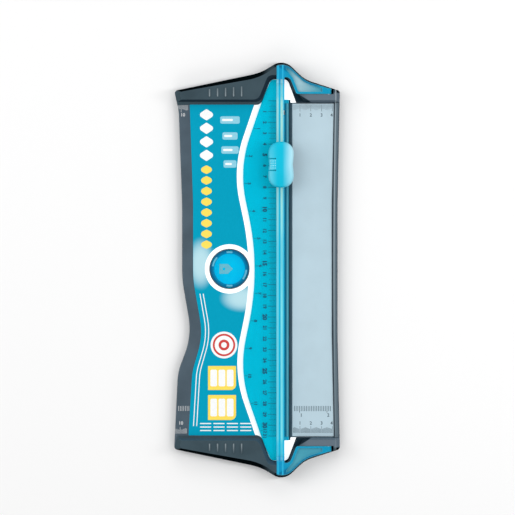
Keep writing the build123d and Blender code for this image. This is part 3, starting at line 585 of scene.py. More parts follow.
PALE_INK = ink("pale_ink", srgb(205, 208, 210))
WHITE_INK = ink("white_ink", srgb(246, 248, 248))
YELLOW_INK = ink("yellow_ink", srgb(252, 222, 92))
CORAL_INK = ink("coral_ink", srgb(206, 66, 62))
SKY_INK = ink("sky_ink", srgb(140, 205, 224))

NODE_LOOKS = {
    "base_tray": TRAY, "head_end_block": CHARCOAL, "foot_end_block": CHARCOAL,
    "side_scale_plate": PLATE, "cutting_mat": MAT, "bed_card": CARD, "storage_cup": CUP,
    "spare_blade": SPARE, "rubber_feet": RUBBER, "base_screws": PIN, "head_hinge_pin": PIN,
    "foot_hinge_pin": PIN, "ruler": RULER, "head_wing": WING, "foot_wing": WING,
    "carriage_plate": CARRIAGE, "head_glide_shoe": CARRIAGE, "foot_glide_shoe": CARRIAGE,
    "slider_cap": CYAN, "blade_holder": CARRIAGE, "blade_clamp": CARRIAGE, "cutting_blade": BLADE,
    "blade_pin": PIN, "head_return_spring": SPRING, "foot_return_spring": SPRING, "storage_lid": LID,
}
for node_name, look in NODE_LOOKS.items():
    data = nodes[node_name].data
    data.materials.clear()
    data.materials.append(look)


# Mesh helpers
DIGIT_SHARE = 0.72
DIGIT_CURVES = 3
WELD = 1e-7
STRAIGHT = 1e-4
CORNER_STEP = 15.0


def to_mesh(bm, name, turn_out=True):
    """Mesh from finished mesh data, with its faces turned outward unless they are so already."""
    if turn_out:
        bmesh.ops.recalc_face_normals(bm, faces=bm.faces)
    mesh = bpy.data.meshes.new(name)
    bm.to_mesh(mesh)
    bm.free()
    return mesh


def new_object(name, data):
    """A new object in the scene."""
    made = bpy.data.objects.new(name, data)
    bpy.context.scene.collection.objects.link(made)
    return made


def make_object(name, mesh, look, body):
    """A piece from a mesh in metres, riding on a body."""
    piece = new_object(name, mesh)
    mesh.materials.clear()
    mesh.materials.append(look)
    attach(piece, body)
    return piece


def raised(bm, outline, height):
    """Mesh points over an outline, a list of (x, y) in millimetres."""
    return [bm.verts.new((x * MM, y * MM, height * MM)) for x, y in outline]


def join(bm, first, second):
    """Faces between two rings of mesh points."""
    for i in range(len(first)):
        j = (i + 1) % len(first)
        bm.faces.new((first[i], first[j], second[j], second[i]))


def prism(bm, outline, bottom, top):
    """Closed prism over an outline, anticlockwise."""
    low, high = raised(bm, outline, bottom), raised(bm, outline, top)
    bm.faces.new(high)
    bm.faces.new(low[::-1])
    join(bm, low, high)


def print_piece(name, outlines, bottom, look, body, depth=PRINT):
    """Printed marks as one piece of thin closed prisms."""
    bm = bmesh.new()
    for outline in outlines:
        prism(bm, outline, bottom, bottom + depth)
    bm.normal_update()
    bmesh.ops.triangulate(bm, faces=[f for f in bm.faces if len(f.verts) > 4])
    return make_object(name, to_mesh(bm, name), look, body)


def numerals(name, labels, bottom, look, body):
    """Printed numbers as one piece. A label is (text, x, y, height, turn, boldness)."""
    bm = bmesh.new()
    for text, x, y, height, turn, bold in labels:
        curve = bpy.data.curves.new("numeral", "FONT")
        curve.body = text
        curve.size = height * MM / DIGIT_SHARE
        curve.align_x = "CENTER"
        curve.extrude = PRINT / 2 * MM
        curve.offset = bold * MM
        curve.resolution_u = DIGIT_CURVES
        holder = bpy.data.objects.new("numeral", curve)
        mesh = bpy.data.meshes.new_from_object(holder)
        shift = Matrix.Translation((x * MM, y * MM, (bottom + PRINT / 2) * MM))
        spin = Matrix.Rotation(math.radians(turn), 4, "Z")
        centre = Matrix.Translation((0, -height * MM / 2, 0))
        mesh.transform(shift @ spin @ centre)
        bm.from_mesh(mesh)
        bpy.data.objects.remove(holder)
        bpy.data.curves.remove(curve)
        bpy.data.meshes.remove(mesh)
    bmesh.ops.remove_doubles(bm, verts=bm.verts, dist=WELD)
    return make_object(name, to_mesh(bm, name, turn_out=False), look, body)


def scale(name, marks, labels, bottom, look, body, slot):
    """Ticks and numerals of a scale, as two pieces."""
    print_piece(f"{name}_ticks", marks, bottom, look, body)
    numerals(f"{name}_numerals", labels, bottom, look, body)


def bar(x0, y0, x1, y1):
    """Corners of an upright rectangle."""
    x0, x1 = sorted((x0, x1))
    y0, y1 = sorted((y0, y1))
    return [(x0, y0), (x1, y0), (x1, y1), (x0, y1)]


def dash(left, right, y, half):
    """Corners of a mark across X, half a width to either side of a place along Y."""
    return bar(left, y - half, right, y + half)


def tick(x, half, start, stop):
    """Corners of a mark along Y, half a width to either side of a place across X."""
    return bar(x - half, start, x + half, stop)


def ring_points(centre, radius, start=0.0, stop=360.0, steps=64):
    """Points of a circle, or of an arc between two angles in degrees."""
    points = []
    for i in range(steps + (stop - start < 360)):
        angle = math.radians(start + (stop - start) * i / steps)
        points.append((centre[X] + radius * math.cos(angle), centre[Y] + radius * math.sin(angle)))
    return points


def rounded(corners, radii, step):
    """Closed outline through corners, each cut by an arc of its radius, a point every few degrees."""
    points = []
    count = len(corners)
    for i, corner in enumerate(corners):
        radius = radii[i] if isinstance(radii, (list, tuple)) else radii
        here = Vector(corner)
        before = (Vector(corners[i - 1]) - here).normalized()
        after = (Vector(corners[(i + 1) % count]) - here).normalized()
        turn = math.pi - before.angle(after)
        if radius <= 0 or turn < STRAIGHT:
            points.append(tuple(here))
            continue
        reach = radius * math.tan(turn / 2)
        centre = here + (before + after).normalized() * (radius / math.cos(turn / 2))
        start = here + before * reach - centre
        side = 1 if before.cross(after) < 0 else -1
        steps = max(2, round(math.degrees(turn) / step))
        for k in range(steps + 1):
            angle = side * turn * k / steps
            c, s = math.cos(angle), math.sin(angle)
            points.append((centre.x + start.x * c - start.y * s, centre.y + start.x * s + start.y * c))
    return points


def rounded_dash(left, right, y, half, radius):
    """The same mark with rounded corners."""
    return rounded(dash(left, right, y, half), radius, CORNER_STEP)


def ribbon(points, width):
    """Outline of a strip of a width along points."""
    left, right = [], []
    for i, point in enumerate(points):
        ahead = Vector(points[min(i + 1, len(points) - 1)]) - Vector(points[max(i - 1, 0)])
        normal = Vector((-ahead.y, ahead.x)).normalized() * width / 2
        left.append(tuple(Vector(point) + normal))
        right.append(tuple(Vector(point) - normal))
    return right + left[::-1]


def edge_at(points, y):
    """Place across X of a line of points at a place along Y, or of its nearer end."""
    for (x0, y0), (x1, y1) in zip(points, points[1:]):
        low, high = min(y0, y1), max(y0, y1)
        if low <= y <= high and high > low:
            return x0 + (x1 - x0) * (y - y0) / (y1 - y0)
    return points[0][X] if abs(y - points[0][Y]) < abs(y - points[-1][Y]) else points[-1][X]


# Ruler's wavy edge: its corners towards the head, each (distance left of the rail, distance along Y)
WAVE_END, WAVE_SHOULDER, WAVE_PEAK, WAVE_DIP = (8.7, 176.2), (17.4, 155.2), (38.4, 94.06), (18.8, 0.0)
SHOULDER_RADIUS = 20.0
PEAK_BEND, DIP_BEND = 0.245, 0.527
WAVE_STEP = 0.6
FAR_RIGHT = (200.0, 0.0)


def wave_edge():
    """Points of the ruler's wavy left edge, from the head to the foot."""
    side = (WAVE_END, WAVE_SHOULDER, WAVE_PEAK)
    head = [(RAIL_X - left, along) for left, along in side]
    dip = (RAIL_X - WAVE_DIP[0], WAVE_DIP[1])
    foot = [(RAIL_X - left, -along) for left, along in side[::-1]]
    bend = WAVE_PEAK[1] ** 2 / (WAVE_PEAK[0] - WAVE_DIP[0])
    radii = [0, SHOULDER_RADIUS, bend * PEAK_BEND, bend * DIP_BEND, bend * PEAK_BEND, SHOULDER_RADIUS, 0, 0]
    return rounded([*head, dip, *foot, FAR_RIGHT], radii, WAVE_STEP)[:-1]


WAVE = wave_edge()


# Ruler's scales: a tick beside the rail is (left end, width), and a numeral is (height, turn, boldness)
UPRIGHT, DOWN = 0, -90
CM_START, CM_COUNT, CM_LABEL_X = 156.5, 31, 7.3
CM_TICK, HALF_TICK, MM_TICK, TICK_RIGHT = (10.3, 0.46), (11.3, 0.3), (12.2, 0.14), 17.7
CM_LABEL, FIFTH_LABEL = (3.1, DOWN, 0.18), (3.8, DOWN, 0.3)
INCH, INCH_START, INCH_COUNT = 25.4, 156.2, 12
INCH_SETBACK, INCH_TICK, INCH_HALF, INCH_LABEL_OFF = 1.3, 2.2, 0.2, 4.4
INCH_LABEL = (3.0, DOWN, 0.14)
marks, labels = [], []
for step_mm in range(10 * CM_COUNT + 1):
    y = CM_START - step_mm
    if step_mm % 10 == 0:
        start, width = CM_TICK
    elif step_mm % 5 == 0:
        start, width = HALF_TICK
    else:
        start, width = MM_TICK
    marks.append(dash(start, TICK_RIGHT, y, width / 2))
for inch in range(1, INCH_COUNT + 1):
    y = INCH_START - inch * INCH
    start = edge_at(WAVE, y) + INCH_SETBACK
    marks.append(dash(start, start + INCH_TICK, y, INCH_HALF))
    labels.append((str(inch), start + INCH_LABEL_OFF, y, *INCH_LABEL))
for cm in range(1, CM_COUNT + 1):
    labels.append((str(cm), CM_LABEL_X, CM_START - 10 * cm, *(FIFTH_LABEL if cm % 5 == 0 else CM_LABEL)))
scale("ruler", marks, labels, RULER_TOP, SCALE_INK, "ruler_arm", "clear_blue")


# Scales on the light plate and on the left strip of the bed, counted from the cut
ZERO_X = 29.8
WHOLE_LENGTH, SHORT_LENGTH, HALF_EXTRA, TICK_HALF = 6.4, 3.6, 1.7, 0.16
SIXTEENTH, SIXTEENTH_ROW = INCH / 16, -125.9
# An end of the plate's scale: where its ticks start, their way, what they lose, half a fine tick's width
PLATE_ENDS = ((152.7, -1, 0.6, 0.09), (-150.9, 1, 0.0, 0.21))
PLATE_STEPS, PLATE_CM_COUNT, LAST_CM_SHIFT = range(4, 41), 4, 0.7
PLATE_ROWS, PLATE_LABEL = (143.6, -141.6), (3.0, UPRIGHT, 0.09)
PLATE_INCH_X, PLATE_SIXTEENTHS = 39.4, range(-3, 19)
PLATE_INCH_LONG, PLATE_INCH_SHORT, PLATE_INCH_HALF = 6.2, 4.8, 0.27
PLATE_INCHES, PLATE_INCH_ROW, PLATE_INCH_LABEL = ((1, 41.0), (2, 66.0)), -134.2, (3.1, UPRIGHT, 0.09)
STRIP_HEAD, STRIP_HEAD_STEPS = 152.6, range(94, 104)
STRIP_FOOT, STRIP_FOOT_STEPS, STRIP_FOOT_SHIFT = -151.4, range(94, 105), 1.0
STRIP_LOSS, STRIP_WHOLE = 0.4, 100
STRIP_INCH_X, STRIP_SIXTEENTHS, STRIP_INCH_LENGTH, STRIP_INCH_HALF = -72.6, range(7), 4.6, 0.2
STRIP_TENS, STRIP_LABEL = ((-68.7, 143.8), (-70.5, -141.6)), (3.1, UPRIGHT, 0.08)


def scallop(step_mm):
    """Length of a millimetre tick: longest at a whole centimetre, and else longer towards the half."""
    rest = step_mm % 10
    if rest == 0:
        return WHOLE_LENGTH
    return SHORT_LENGTH + HALF_EXTRA * (1 - abs(rest - 5) / 5)


plate_marks, plate_labels, strip_marks, strip_labels = [], [], [], []
for step_mm in PLATE_STEPS:
    for start, way, loss, fine in PLATE_ENDS:
        half = TICK_HALF if step_mm % 10 == 0 else fine
        stop = start + way * (scallop(step_mm) - loss)
        plate_marks.append(tick(ZERO_X + step_mm, half, start, stop))
for cm in range(1, PLATE_CM_COUNT + 1):
    x = ZERO_X + 10 * cm - (LAST_CM_SHIFT if cm == PLATE_CM_COUNT else 0)
    for y in PLATE_ROWS:
        plate_labels.append((str(cm), x, y, *PLATE_LABEL))
for step in PLATE_SIXTEENTHS:
    long = PLATE_INCH_LONG if step % 16 == 0 else PLATE_INCH_SHORT
    x = PLATE_INCH_X + step * SIXTEENTH
    plate_marks.append(tick(x, PLATE_INCH_HALF, SIXTEENTH_ROW, SIXTEENTH_ROW - long))
for inch, x in PLATE_INCHES:
    plate_labels.append((str(inch), x, PLATE_INCH_ROW, *PLATE_INCH_LABEL))
for step_mm in STRIP_HEAD_STEPS:
    long = scallop(step_mm) - (STRIP_LOSS if step_mm != STRIP_WHOLE else 0)
    strip_marks.append(tick(ZERO_X - step_mm, TICK_HALF, STRIP_HEAD, STRIP_HEAD - long))
for step_mm in STRIP_FOOT_STEPS:
    x = ZERO_X - step_mm - STRIP_FOOT_SHIFT
    strip_marks.append(tick(x, TICK_HALF, STRIP_FOOT, STRIP_FOOT + scallop(step_mm) - STRIP_LOSS))
for step in STRIP_SIXTEENTHS:
    x = STRIP_INCH_X + step * SIXTEENTH
    strip_marks.append(tick(x, STRIP_INCH_HALF, SIXTEENTH_ROW, SIXTEENTH_ROW - STRIP_INCH_LENGTH))
for x, y in STRIP_TENS:
    strip_labels.append(("10", x, y, *STRIP_LABEL))
scale("plate", plate_marks, plate_labels, BED_TOP, PLATE_INK, "base", "plate_grey")
scale("strip", strip_marks, strip_labels, BED_TOP, PALE_INK, "base", "charcoal")


# Print on the bed card: a teal field left of a white band, with a white ring round the lid
FIELD_MARGIN, FIELD_INSET = 0.05, 0.08
FIELD_STOP = BED_HALF - FIELD_MARGIN
RING, RING_STEPS = 22.8, 240
BAND, BAND_TAPER = 5.5, 0.003
BED_LEFT, GRIP_DEPTH = -76.7, 16.3
# Points of the field's left edge: (share of the grip recess, share of the bed, strip's width, radius's share)
LEFT_POINTS = (
    (0.21, -0.616, 13.3, 0.33), (1.0, -0.395, 10.2, 0.42),
    (0.45, -0.059, 10.2, 0.65), (0.45, 0.392, 10.2, 2.6),
)
FOOT_CORNER, HEAD_CORNER = (-63.3, -FIELD_STOP), (-62.15, FIELD_STOP)
CLOSING_CORNER, LEFT_STEP = (150.0, 0.0), 1.5


def band(y):
    """Width across X of the white band beside the ruler, a little wider at the head."""
    return BAND + BAND_TAPER * y


def field_left():
    """Left edge of the teal field, from the foot to the head."""
    corners, radii = [FOOT_CORNER], [0]
    for grip, along, strip, radius in LEFT_POINTS:
        corners.append((BED_LEFT + GRIP_DEPTH * grip + strip + FIELD_INSET, BED_HALF * along))
        radii.append(BED_HALF * radius)
    return rounded([*corners, HEAD_CORNER, CLOSING_CORNER], [*radii, 0, 0], LEFT_STEP)[:-1]


def field_right():
    """Right edge of the teal field, from the head to the foot."""
    inner = [(x - band(y), y) for x, y in WAVE if abs(y) < FIELD_STOP]
    head, foot = [(edge_at(WAVE, y) - band(y), y) for y in (FIELD_STOP, -FIELD_STOP)]
    return [head, *inner, foot]


left_side, right_side = field_left(), field_right()


def field_outline():
    """The teal field: up its left edge, down its right edge, and round the lid's white ring between."""
    def meets_ring(p):
        return math.dist(p, WELL) < RING

    around = ring_points(WELL, RING, steps=RING_STEPS)
    outside = [p for p in around if p[X] < edge_at(right_side, p[Y])]
    outside.sort(key=lambda p: math.atan2(p[Y] - WELL[Y], p[X] - WELL[X]) % (2 * math.pi))
    upper = [p for p in right_side if p[Y] > WELL[Y] and not meets_ring(p)]
    lower = [p for p in right_side if p[Y] < WELL[Y] and not meets_ring(p)]
    return left_side + upper + outside + lower


def card_print(name, outlines, bottom, look):
    """Marks printed on the card."""
    return print_piece(name, outlines, bottom, look, "base")


def ring_print(name, rings, bottom, look):
    """Flat closed rings on the card, each (centre, outer radius, inner radius)."""
    top = bottom + PRINT
    bm = bmesh.new()
    for centre, outer, inner in rings:
        loops = []
        for radius, height in ((inner, bottom), (outer, bottom), (outer, top), (inner, top)):
            loops.append(raised(bm, ring_points(centre, radius), height))
        for first, second in zip(loops, loops[1:] + loops[:1]):
            join(bm, first, second)
    return make_object(name, to_mesh(bm, name), look, "base")


card_print("card_field", [field_outline()], CARD_TOP, TEAL)


# Generic decoration on the card: columns and rows are pixels of the view, other sizes are millimetres
# A tablet is (row, half its width), a panel's rows are (upper, lower) and a ring is (outer, inner) radius
DECOR = CARD_TOP + PRINT
VIEW_PIXELS, PIXELS_PER_MM = 515, 1.08
ORIGIN_COLUMN, ORIGIN_ROW = 257, 270
DECOR_STEP = 12.0
LOZENGE_COLUMN, WHITE_ROW, TURN_ROW, YELLOW_ROW = 206.5, 108, 160, 250
LOZENGE_HALF, LOZENGE_GAP, LOZENGE_RADII = 8.2, 0.9, [1.2, 2.6, 1.2, 2.6]
WHITE_COUNT, WHITE_GAP, YELLOW_COUNT, YELLOW_GAP = 4, 2, 8, 4
TABLET_COLUMN, TABLET_ROWS = 230, ((120, 9.0), (136, 7.0), (150, 8.0), (164, 6.0))
TABLET_HALF, TABLET_RADIUS = 3.4, 1.6
RULE_INSET, RULE_SHARE, RULE_HALF, RULE_RADIUS = 1.6, 0.3, 1.0, 0.9
DISC_COLUMN, DISC_ROW, DISC_RADIUS, DISC_RINGS = 224, 345, 12.4, ((10.4, 8.6), (5.0, 2.6))
PANEL_COLUMNS, PANEL_ROWS, PANEL_RADII = (208, 236), ((366, 390), (395, 420)), [0.4, 5.0, 0.4, 0.4]
CELL_COUNT, CELL_INSET, CELL_PITCH, CELL_WIDTH, CELL_MARGIN, CELL_RADIUS = 3, 2.2, 7.6, 6.2, 3.4, 1.4
STRIPE_INSETS, STRIPE_WIDTH, STRIPE_START, STRIPE_STEP, STRIPE_POINTS = (4.0, 7.0), 0.8, -22.0, 2.5, 50
DASH_COLUMN, DASH_ROWS, DASH_COUNT = 200, (423.5, 427.0, 430.5), 4
DASH_PITCH, DASH_LENGTH, DASH_HALF, DASH_RADIUS = 12.4, 10.4, 0.5, 0.45


def pixel(column, row):
    """Place on the bed, in millimetres, of a point given in the view's pixels."""
    return ((column - ORIGIN_COLUMN) / PIXELS_PER_MM, (ORIGIN_ROW - row) / PIXELS_PER_MM)


def chain(first, last, count):
    """A column of rounded lozenges between two places along Y."""
    x = pixel(LOZENGE_COLUMN, 0)[X]
    step = (last - first) / count
    half = abs(step) / 2 - LOZENGE_GAP
    outlines = []
    for i in range(count):
        y = first + step * (i + 0.5)
        corners = [(x, y - half), (x + LOZENGE_HALF, y), (x, y + half), (x - LOZENGE_HALF, y)]
        outlines.append(rounded(corners, LOZENGE_RADII, DECOR_STEP))
    return outlines


top_y, turn_y, low_y = (pixel(0, row)[Y] for row in (WHITE_ROW, TURN_ROW, YELLOW_ROW))
white_marks = chain(top_y, turn_y - WHITE_GAP, WHITE_COUNT)
yellow_marks = chain(turn_y - YELLOW_GAP, low_y, YELLOW_COUNT)
sky_marks, over_marks = [], []
for row, wide in TABLET_ROWS:
    x, y = pixel(TABLET_COLUMN, row)
    left, right = x - wide + RULE_INSET, x + wide * RULE_SHARE
    sky_marks.append(rounded_dash(x - wide, x + wide, y, TABLET_HALF, TABLET_RADIUS))
    over_marks.append(rounded_dash(left, right, y, RULE_HALF, RULE_RADIUS))
disc = pixel(DISC_COLUMN, DISC_ROW)
white_marks.append(ring_points(disc, DISC_RADIUS))
coral_rings = [(disc, outer, inner) for outer, inner in DISC_RINGS]
for high_row, low_row in PANEL_ROWS:
    x0, y0 = pixel(PANEL_COLUMNS[0], low_row)
    x1, y1 = pixel(PANEL_COLUMNS[1], high_row)
    yellow_marks.append(rounded(bar(x0, y0, x1, y1), PANEL_RADII, DECOR_STEP))
    for cell in range(CELL_COUNT):
        left = x0 + CELL_INSET + cell * CELL_PITCH
        half = (y1 - y0) / 2 - CELL_MARGIN
        over_marks.append(rounded_dash(left, left + CELL_WIDTH, (y0 + y1) / 2, half, CELL_RADIUS))
for inset in STRIPE_INSETS:
    places = [STRIPE_START - STRIPE_STEP * i for i in range(STRIPE_POINTS)]
    white_marks.append(ribbon([(edge_at(left_side, y) + inset, y) for y in places], STRIPE_WIDTH))
for row in DASH_ROWS:
    x, y = pixel(DASH_COLUMN, row)
    for i in range(DASH_COUNT):
        left = x + i * DASH_PITCH
        white_marks.append(rounded_dash(left, left + DASH_LENGTH, y, DASH_HALF, DASH_RADIUS))
card_print("card_white_marks", white_marks, DECOR, WHITE_INK)
card_print("card_yellow_marks", yellow_marks, DECOR, YELLOW_INK)
ring_print("card_coral_rings", coral_rings, DECOR + PRINT, CORAL_INK)
card_print("card_sky_marks", sky_marks, DECOR, SKY_INK)
card_print("card_over_marks", over_marks, DECOR + PRINT, WHITE_INK)


# Catch marks in the storage lid's rim, each (bearing, half its length) in degrees
CATCHES = ((90, 10), (270, 10), (154, 17), (-20, 17))
CATCH_OUT, CATCH_IN, CATCH_STEPS = 16.4, 14.8, 12
CATCH_FOOT, CATCH_DEPTH = 10.19, 0.06
CATCH_INK = ink("catch_blue", srgb(92, 176, 204), 0.3)
catches = []
for bearing, half in CATCHES:
    out = ring_points(WELL, CATCH_OUT, bearing - half, bearing + half, CATCH_STEPS)
    back = ring_points(WELL, CATCH_IN, bearing - half, bearing + half, CATCH_STEPS)
    catches.append(out + back[::-1])
print_piece("lid_catch_marks", catches, CATCH_FOOT, CATCH_INK, "lid", CATCH_DEPTH)


# Slider's thumb cap: a crowned, waisted shell with sloping flanks and two slits beside its grip
CAP_TOP, CAP_FOOT, CAP_CEILING = 32.7, 24.15, 27.2
CAP_HALF, CAP_WIDE, CAP_WAIST, CAP_END, CAP_POWER = 21.15, 11.65, 0.8, 10.8, 2.2
CAP_EDGE, CAP_WALL, CAP_LIP = 2.4, 2.0, 0.3
CAP_CROWN, CAP_RIDGE = 1.7, 2.2
# How a flank drops: (slope, curve)
RIGHT_FLANK, LEFT_FLANK = (0.16, 0.02), (0.05, 0.015)
SPOKES, RINGS, CROWDING = 180, 42, 1.6
REACH_LIMIT, HALVINGS = 40.0, 40


def cap_reach(angle):
    """Distance from the cap's centre to its outline."""
    dx, dy = math.cos(angle), math.sin(angle)
    straight = CAP_HALF - CAP_END
    low, high = 0.0, REACH_LIMIT
    for _ in range(HALVINGS):
        reach = (low + high) / 2
        x, y = abs(dx * reach), abs(dy * reach)
        if y < straight:
            inside = x < CAP_WIDE - CAP_WAIST * (1 - y / straight) ** 2
        else:
            inside = (x / CAP_WIDE) ** CAP_POWER + ((y - straight) / CAP_END) ** CAP_POWER < 1
        low, high = (reach, high) if inside else (low, reach)
    return low


def cap_height(x, y, inset):
    """Height of the cap's face at a place, and at its distance in from the edge."""
    flank = max(0.0, abs(x) - CAP_RIDGE)
    slope, curve = RIGHT_FLANK if x > 0 else LEFT_FLANK
    drop = slope * flank + curve * flank**2
    height = CAP_TOP - CAP_CROWN * (y / CAP_HALF) ** 2 - drop
    if inset < CAP_EDGE:
        height -= CAP_EDGE - math.sqrt(max(0.0, CAP_EDGE**2 - (CAP_EDGE - inset) ** 2))
    return height


def cap_mesh():
    """The cap's shell, in rings from its top over its edge and up inside its wall."""
    bm = bmesh.new()
    centre_top = bm.verts.new((CAP_X * MM, SLIDER_Y * MM, CAP_TOP * MM))
    angles = [2 * math.pi * i / SPOKES for i in range(SPOKES)]
    reaches = [cap_reach(angle) for angle in angles]

    def loop(share, setback, height=None):
        """A ring within the outline, on the cap's face unless a height is given."""
        verts = []
        for angle, reach in zip(angles, reaches):
            far = reach * share - setback
            x, y = far * math.cos(angle), far * math.sin(angle)
            z = cap_height(x, y, reach - far) if height is None else height
            verts.append(bm.verts.new(((CAP_X + x) * MM, (SLIDER_Y + y) * MM, z * MM)))
        return verts

    loops = [loop(1 - (1 - ring / RINGS) ** CROWDING, 0.0) for ring in range(1, RINGS + 1)]
    loops.append(loop(1.0, 0.0, CAP_FOOT + CAP_LIP))
    loops.append(loop(1.0, CAP_LIP, CAP_FOOT))
    loops.append(loop(1.0, CAP_WALL, CAP_FOOT))
    loops.append(loop(1.0, CAP_WALL, CAP_CEILING))
    for i in range(SPOKES):
        bm.faces.new((centre_top, loops[0][i], loops[0][(i + 1) % SPOKES]))
    for inner, outer in zip(loops, loops[1:]):
        join(bm, inner, outer)
    bm.faces.new(loops[-1])
    for face in bm.faces:
        face.smooth = True
    return to_mesh(bm, "thumb_cap")


cap = make_object("thumb_cap", cap_mesh(), CYAN, "cutter_head")
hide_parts("slider_cap")


# Inside of the cap: guide tubes for the carriage's posts, a rib over the blade, its slot and the slits
POST_ALONG, POST_ROOM, TUBE, TUBE_STEPS = 13.2, 2.15, 3.65, 40
GUIDE_SETBACK, ROOT_DEPTH = 0.2, 0.4
TUBE_FOOT, TUBE_TOP = CAP_FOOT + GUIDE_SETBACK, 29.95
ROOT = CAP_CEILING + ROOT_DEPTH
RIB_LEFT, RIB_RIGHT, RIB_HALF, RIB_SETBACK = 28.3, 32.6, 7.0, 0.01
SLOT_LEFT, SLOT_RIGHT, SLOT_HALF, SLOT_TOP = 29.8, 30.4, 4.7, 24.9
SLIT_LEFT, SLIT_RIGHT, SLIT_HALF, SLIT_TOP, SLITS = 9.4, 17.4, 0.45, 34.0, (102.4, 91.6)
BELOW = 1.0


def helper(name, outlines):
    """A loose mesh of closed prisms, each (outline, bottom, top), for shaping the cap."""
    bm = bmesh.new()
    for outline, bottom, top in outlines:
        prism(bm, outline, bottom, top)
    return new_object(name, to_mesh(bm, name))


def shape_cap():
    """Adds the rib and the tubes to the cap, and then cuts its openings."""
    posts = [(RAIL_X, SLIDER_Y - POST_ALONG), (RAIL_X, SLIDER_Y + POST_ALONG)]
    inside = [(dash(RIB_LEFT, RIB_RIGHT, SLIDER_Y, RIB_HALF), CAP_FOOT + RIB_SETBACK, ROOT)]
    inside += [(ring_points(post, TUBE, steps=TUBE_STEPS), TUBE_FOOT, ROOT) for post in posts]
    room = [(ring_points(post, POST_ROOM, steps=TUBE_STEPS), TUBE_FOOT - BELOW, TUBE_TOP) for post in posts]
    room.append((dash(SLOT_LEFT, SLOT_RIGHT, SLIDER_Y, SLOT_HALF), CAP_FOOT - BELOW, SLOT_TOP))
    room += [(dash(SLIT_LEFT, SLIT_RIGHT, y, SLIT_HALF), CAP_FOOT - BELOW, SLIT_TOP) for y in SLITS]
    for operation, prisms in (("UNION", inside), ("DIFFERENCE", room)):
        shape = helper("cap_shape", prisms)
        step = cap.modifiers.new("shape", "BOOLEAN")
        step.object = shape
        step.operation = operation
        step.solver = "EXACT"
        bpy.context.view_layer.update()
        shaped = bpy.data.meshes.new_from_object(cap.evaluated_get(bpy.context.evaluated_depsgraph_get()))
        cap.modifiers.clear()
        cap.data = shaped
        bpy.data.objects.remove(shape)


shape_cap()


# Grip of the cap
GRIP_ROWS, GRIP_COLUMNS, GRIP_LEFT, ROW_PITCH, COLUMN_PITCH = 4, 3, 12.8, 2.2, 2.0
DOT_RADIUS, DOT_FLAT, DOT_SINK = 0.72, 0.7, 0.22


def grip_dots():
    """Low domes, part sunk in the cap's face."""
    bm = bmesh.new()
    for row in range(GRIP_ROWS):
        for column in range(GRIP_COLUMNS):
            x = GRIP_LEFT + COLUMN_PITCH * column
            y = SLIDER_Y + ROW_PITCH * ((GRIP_ROWS - 1) / 2 - row)
            z = cap_height(x - CAP_X, y - SLIDER_Y, CAP_EDGE) - DOT_SINK
            made = bmesh.ops.create_uvsphere(bm, u_segments=16, v_segments=8, radius=DOT_RADIUS * MM)
            bmesh.ops.scale(bm, vec=(1.0, 1.0, DOT_FLAT), verts=made["verts"])
            bmesh.ops.translate(bm, vec=(x * MM, y * MM, z * MM), verts=made["verts"])
    for face in bm.faces:
        face.smooth = True
    make_object("grip_dots", to_mesh(bm, "grip_dots", turn_out=False), GRIP, "cutter_head")


grip_dots()


# Return springs: coils with closed ends
SPRING_FOOT, SPRING_TOP, SPRING_RADIUS, WIRE = 20.2, 27.1, 2.4, 0.35
TURNS, CLOSED_TURN, TURN_STEPS, WIRE_SIDES = 6, 0.75, 36, 10
SPRING_ALONG, PRESS = 6.6, 3.0


def coil(name, y, node):
    """A return spring, in place of its CAD node."""
    bm = bmesh.new()
    steps = TURNS * TURN_STEPS
    rise = SPRING_TOP - SPRING_FOOT - 2 * WIRE
    rings = []
    for i in range(steps + 1):
        share = i / steps
        angle = 2 * math.pi * TURNS * share
        lift = min(1.0, max(0.0, (share * TURNS - CLOSED_TURN) / (TURNS - 2 * CLOSED_TURN)))
        height = SPRING_FOOT + WIRE + rise * lift
        ring = []
        for k in range(WIRE_SIDES):
            turn = 2 * math.pi * k / WIRE_SIDES
            far = SPRING_RADIUS + WIRE * math.cos(turn)
            ring.append(bm.verts.new((
                (RAIL_X + far * math.cos(angle)) * MM,
                (y + far * math.sin(angle)) * MM,
                (height + WIRE * math.sin(turn)) * MM,
            )))
        rings.append(ring)
    for first, second in zip(rings, rings[1:]):
        join(bm, first, second)
    bm.faces.new(rings[0][::-1])
    bm.faces.new(rings[-1])
    for face in bm.faces:
        face.smooth = len(face.verts) == 4
    piece = make_object(name, to_mesh(bm, name), SPRING, "cutter_head")
    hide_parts(node)
    height = SPRING_TOP - SPRING_FOOT
    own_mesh(piece)


coil("head_coil", SLIDER_Y + SPRING_ALONG, "head_return_spring")
coil("foot_coil", SLIDER_Y - SPRING_ALONG, "foot_return_spring")


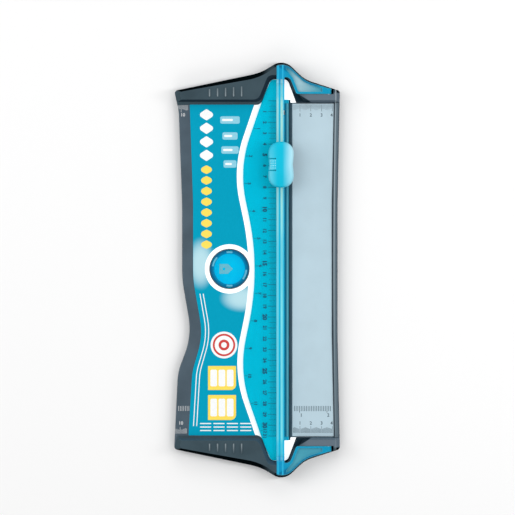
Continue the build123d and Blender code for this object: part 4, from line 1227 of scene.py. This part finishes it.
# Camera, floor and light, in metres
CENTRE = (0.46 * MM, 11.57 * MM)
HEIGHT = 2.6
SPAN = VIEW_PIXELS / PIXELS_PER_MM * MM
SENSOR, FAR_CLIP = 36.0, 20.0
FLOOR, FLOOR_DROP, FLOOR_TONE, FLOOR_ROUGH = 3.0, 0.0002, (0.9, 0.9, 0.9, 1.0), 0.9
WORLD_TONE, WORLD_STRENGTH = (1.0, 1.0, 1.0, 1.0), 0.5
camera_data = bpy.data.cameras.new("camera")
camera_data.sensor_width = SENSOR
camera_data.lens = SENSOR * (HEIGHT - BED_TOP * MM) / SPAN
camera_data.clip_end = FAR_CLIP
camera = new_object("camera", camera_data)
camera.location = (CENTRE[X], CENTRE[Y], HEIGHT)
bpy.context.scene.camera = camera

floor_mesh = bpy.data.meshes.new("floor")
floor_corners = [(x, y, 0) for x, y in bar(-FLOOR, -FLOOR, FLOOR, FLOOR)]
floor_mesh.from_pydata(floor_corners, [], [(0, 1, 2, 3)])
floor = new_object("floor", floor_mesh)
floor.location.z = -FLOOR_DROP
floor_look = Nodes("floor")
floor_shader = floor_look.principled(Base_Color=FLOOR_TONE, Roughness=FLOOR_ROUGH)
floor_mesh.materials.append(floor_look.surface(floor_shader))

world = bpy.data.worlds.new("world")
world.use_nodes = True
background = world.node_tree.nodes["Background"].inputs
background["Color"].default_value = WORLD_TONE
background["Strength"].default_value = WORLD_STRENGTH
bpy.context.scene.world = world


def softbox(name, place, size, power):
    """A rectangular lamp that faces the origin."""
    light = bpy.data.lights.new(name, "AREA")
    light.shape = "RECTANGLE"
    light.size, light.size_y = size
    light.energy = power
    holder = new_object(name, light)
    holder.location = place
    holder.rotation_euler = (-Vector(place)).to_track_quat("-Z", "Y").to_euler()


softbox("left_box", place=(-1.1, 0.35, 1.2), size=(0.9, 1.4), power=9.8)
softbox("right_strip", place=(0.8, 0.1, 1.0), size=(0.14, 1.0), power=5.4)
softbox("foot_box", place=(0.1, -1.3, 1.3), size=(1.4, 0.6), power=3.2)
softbox("head_box", place=(0.1, 1.3, 1.2), size=(1.4, 0.6), power=4.4)

bpy.context.scene.view_settings.view_transform = "Standard"
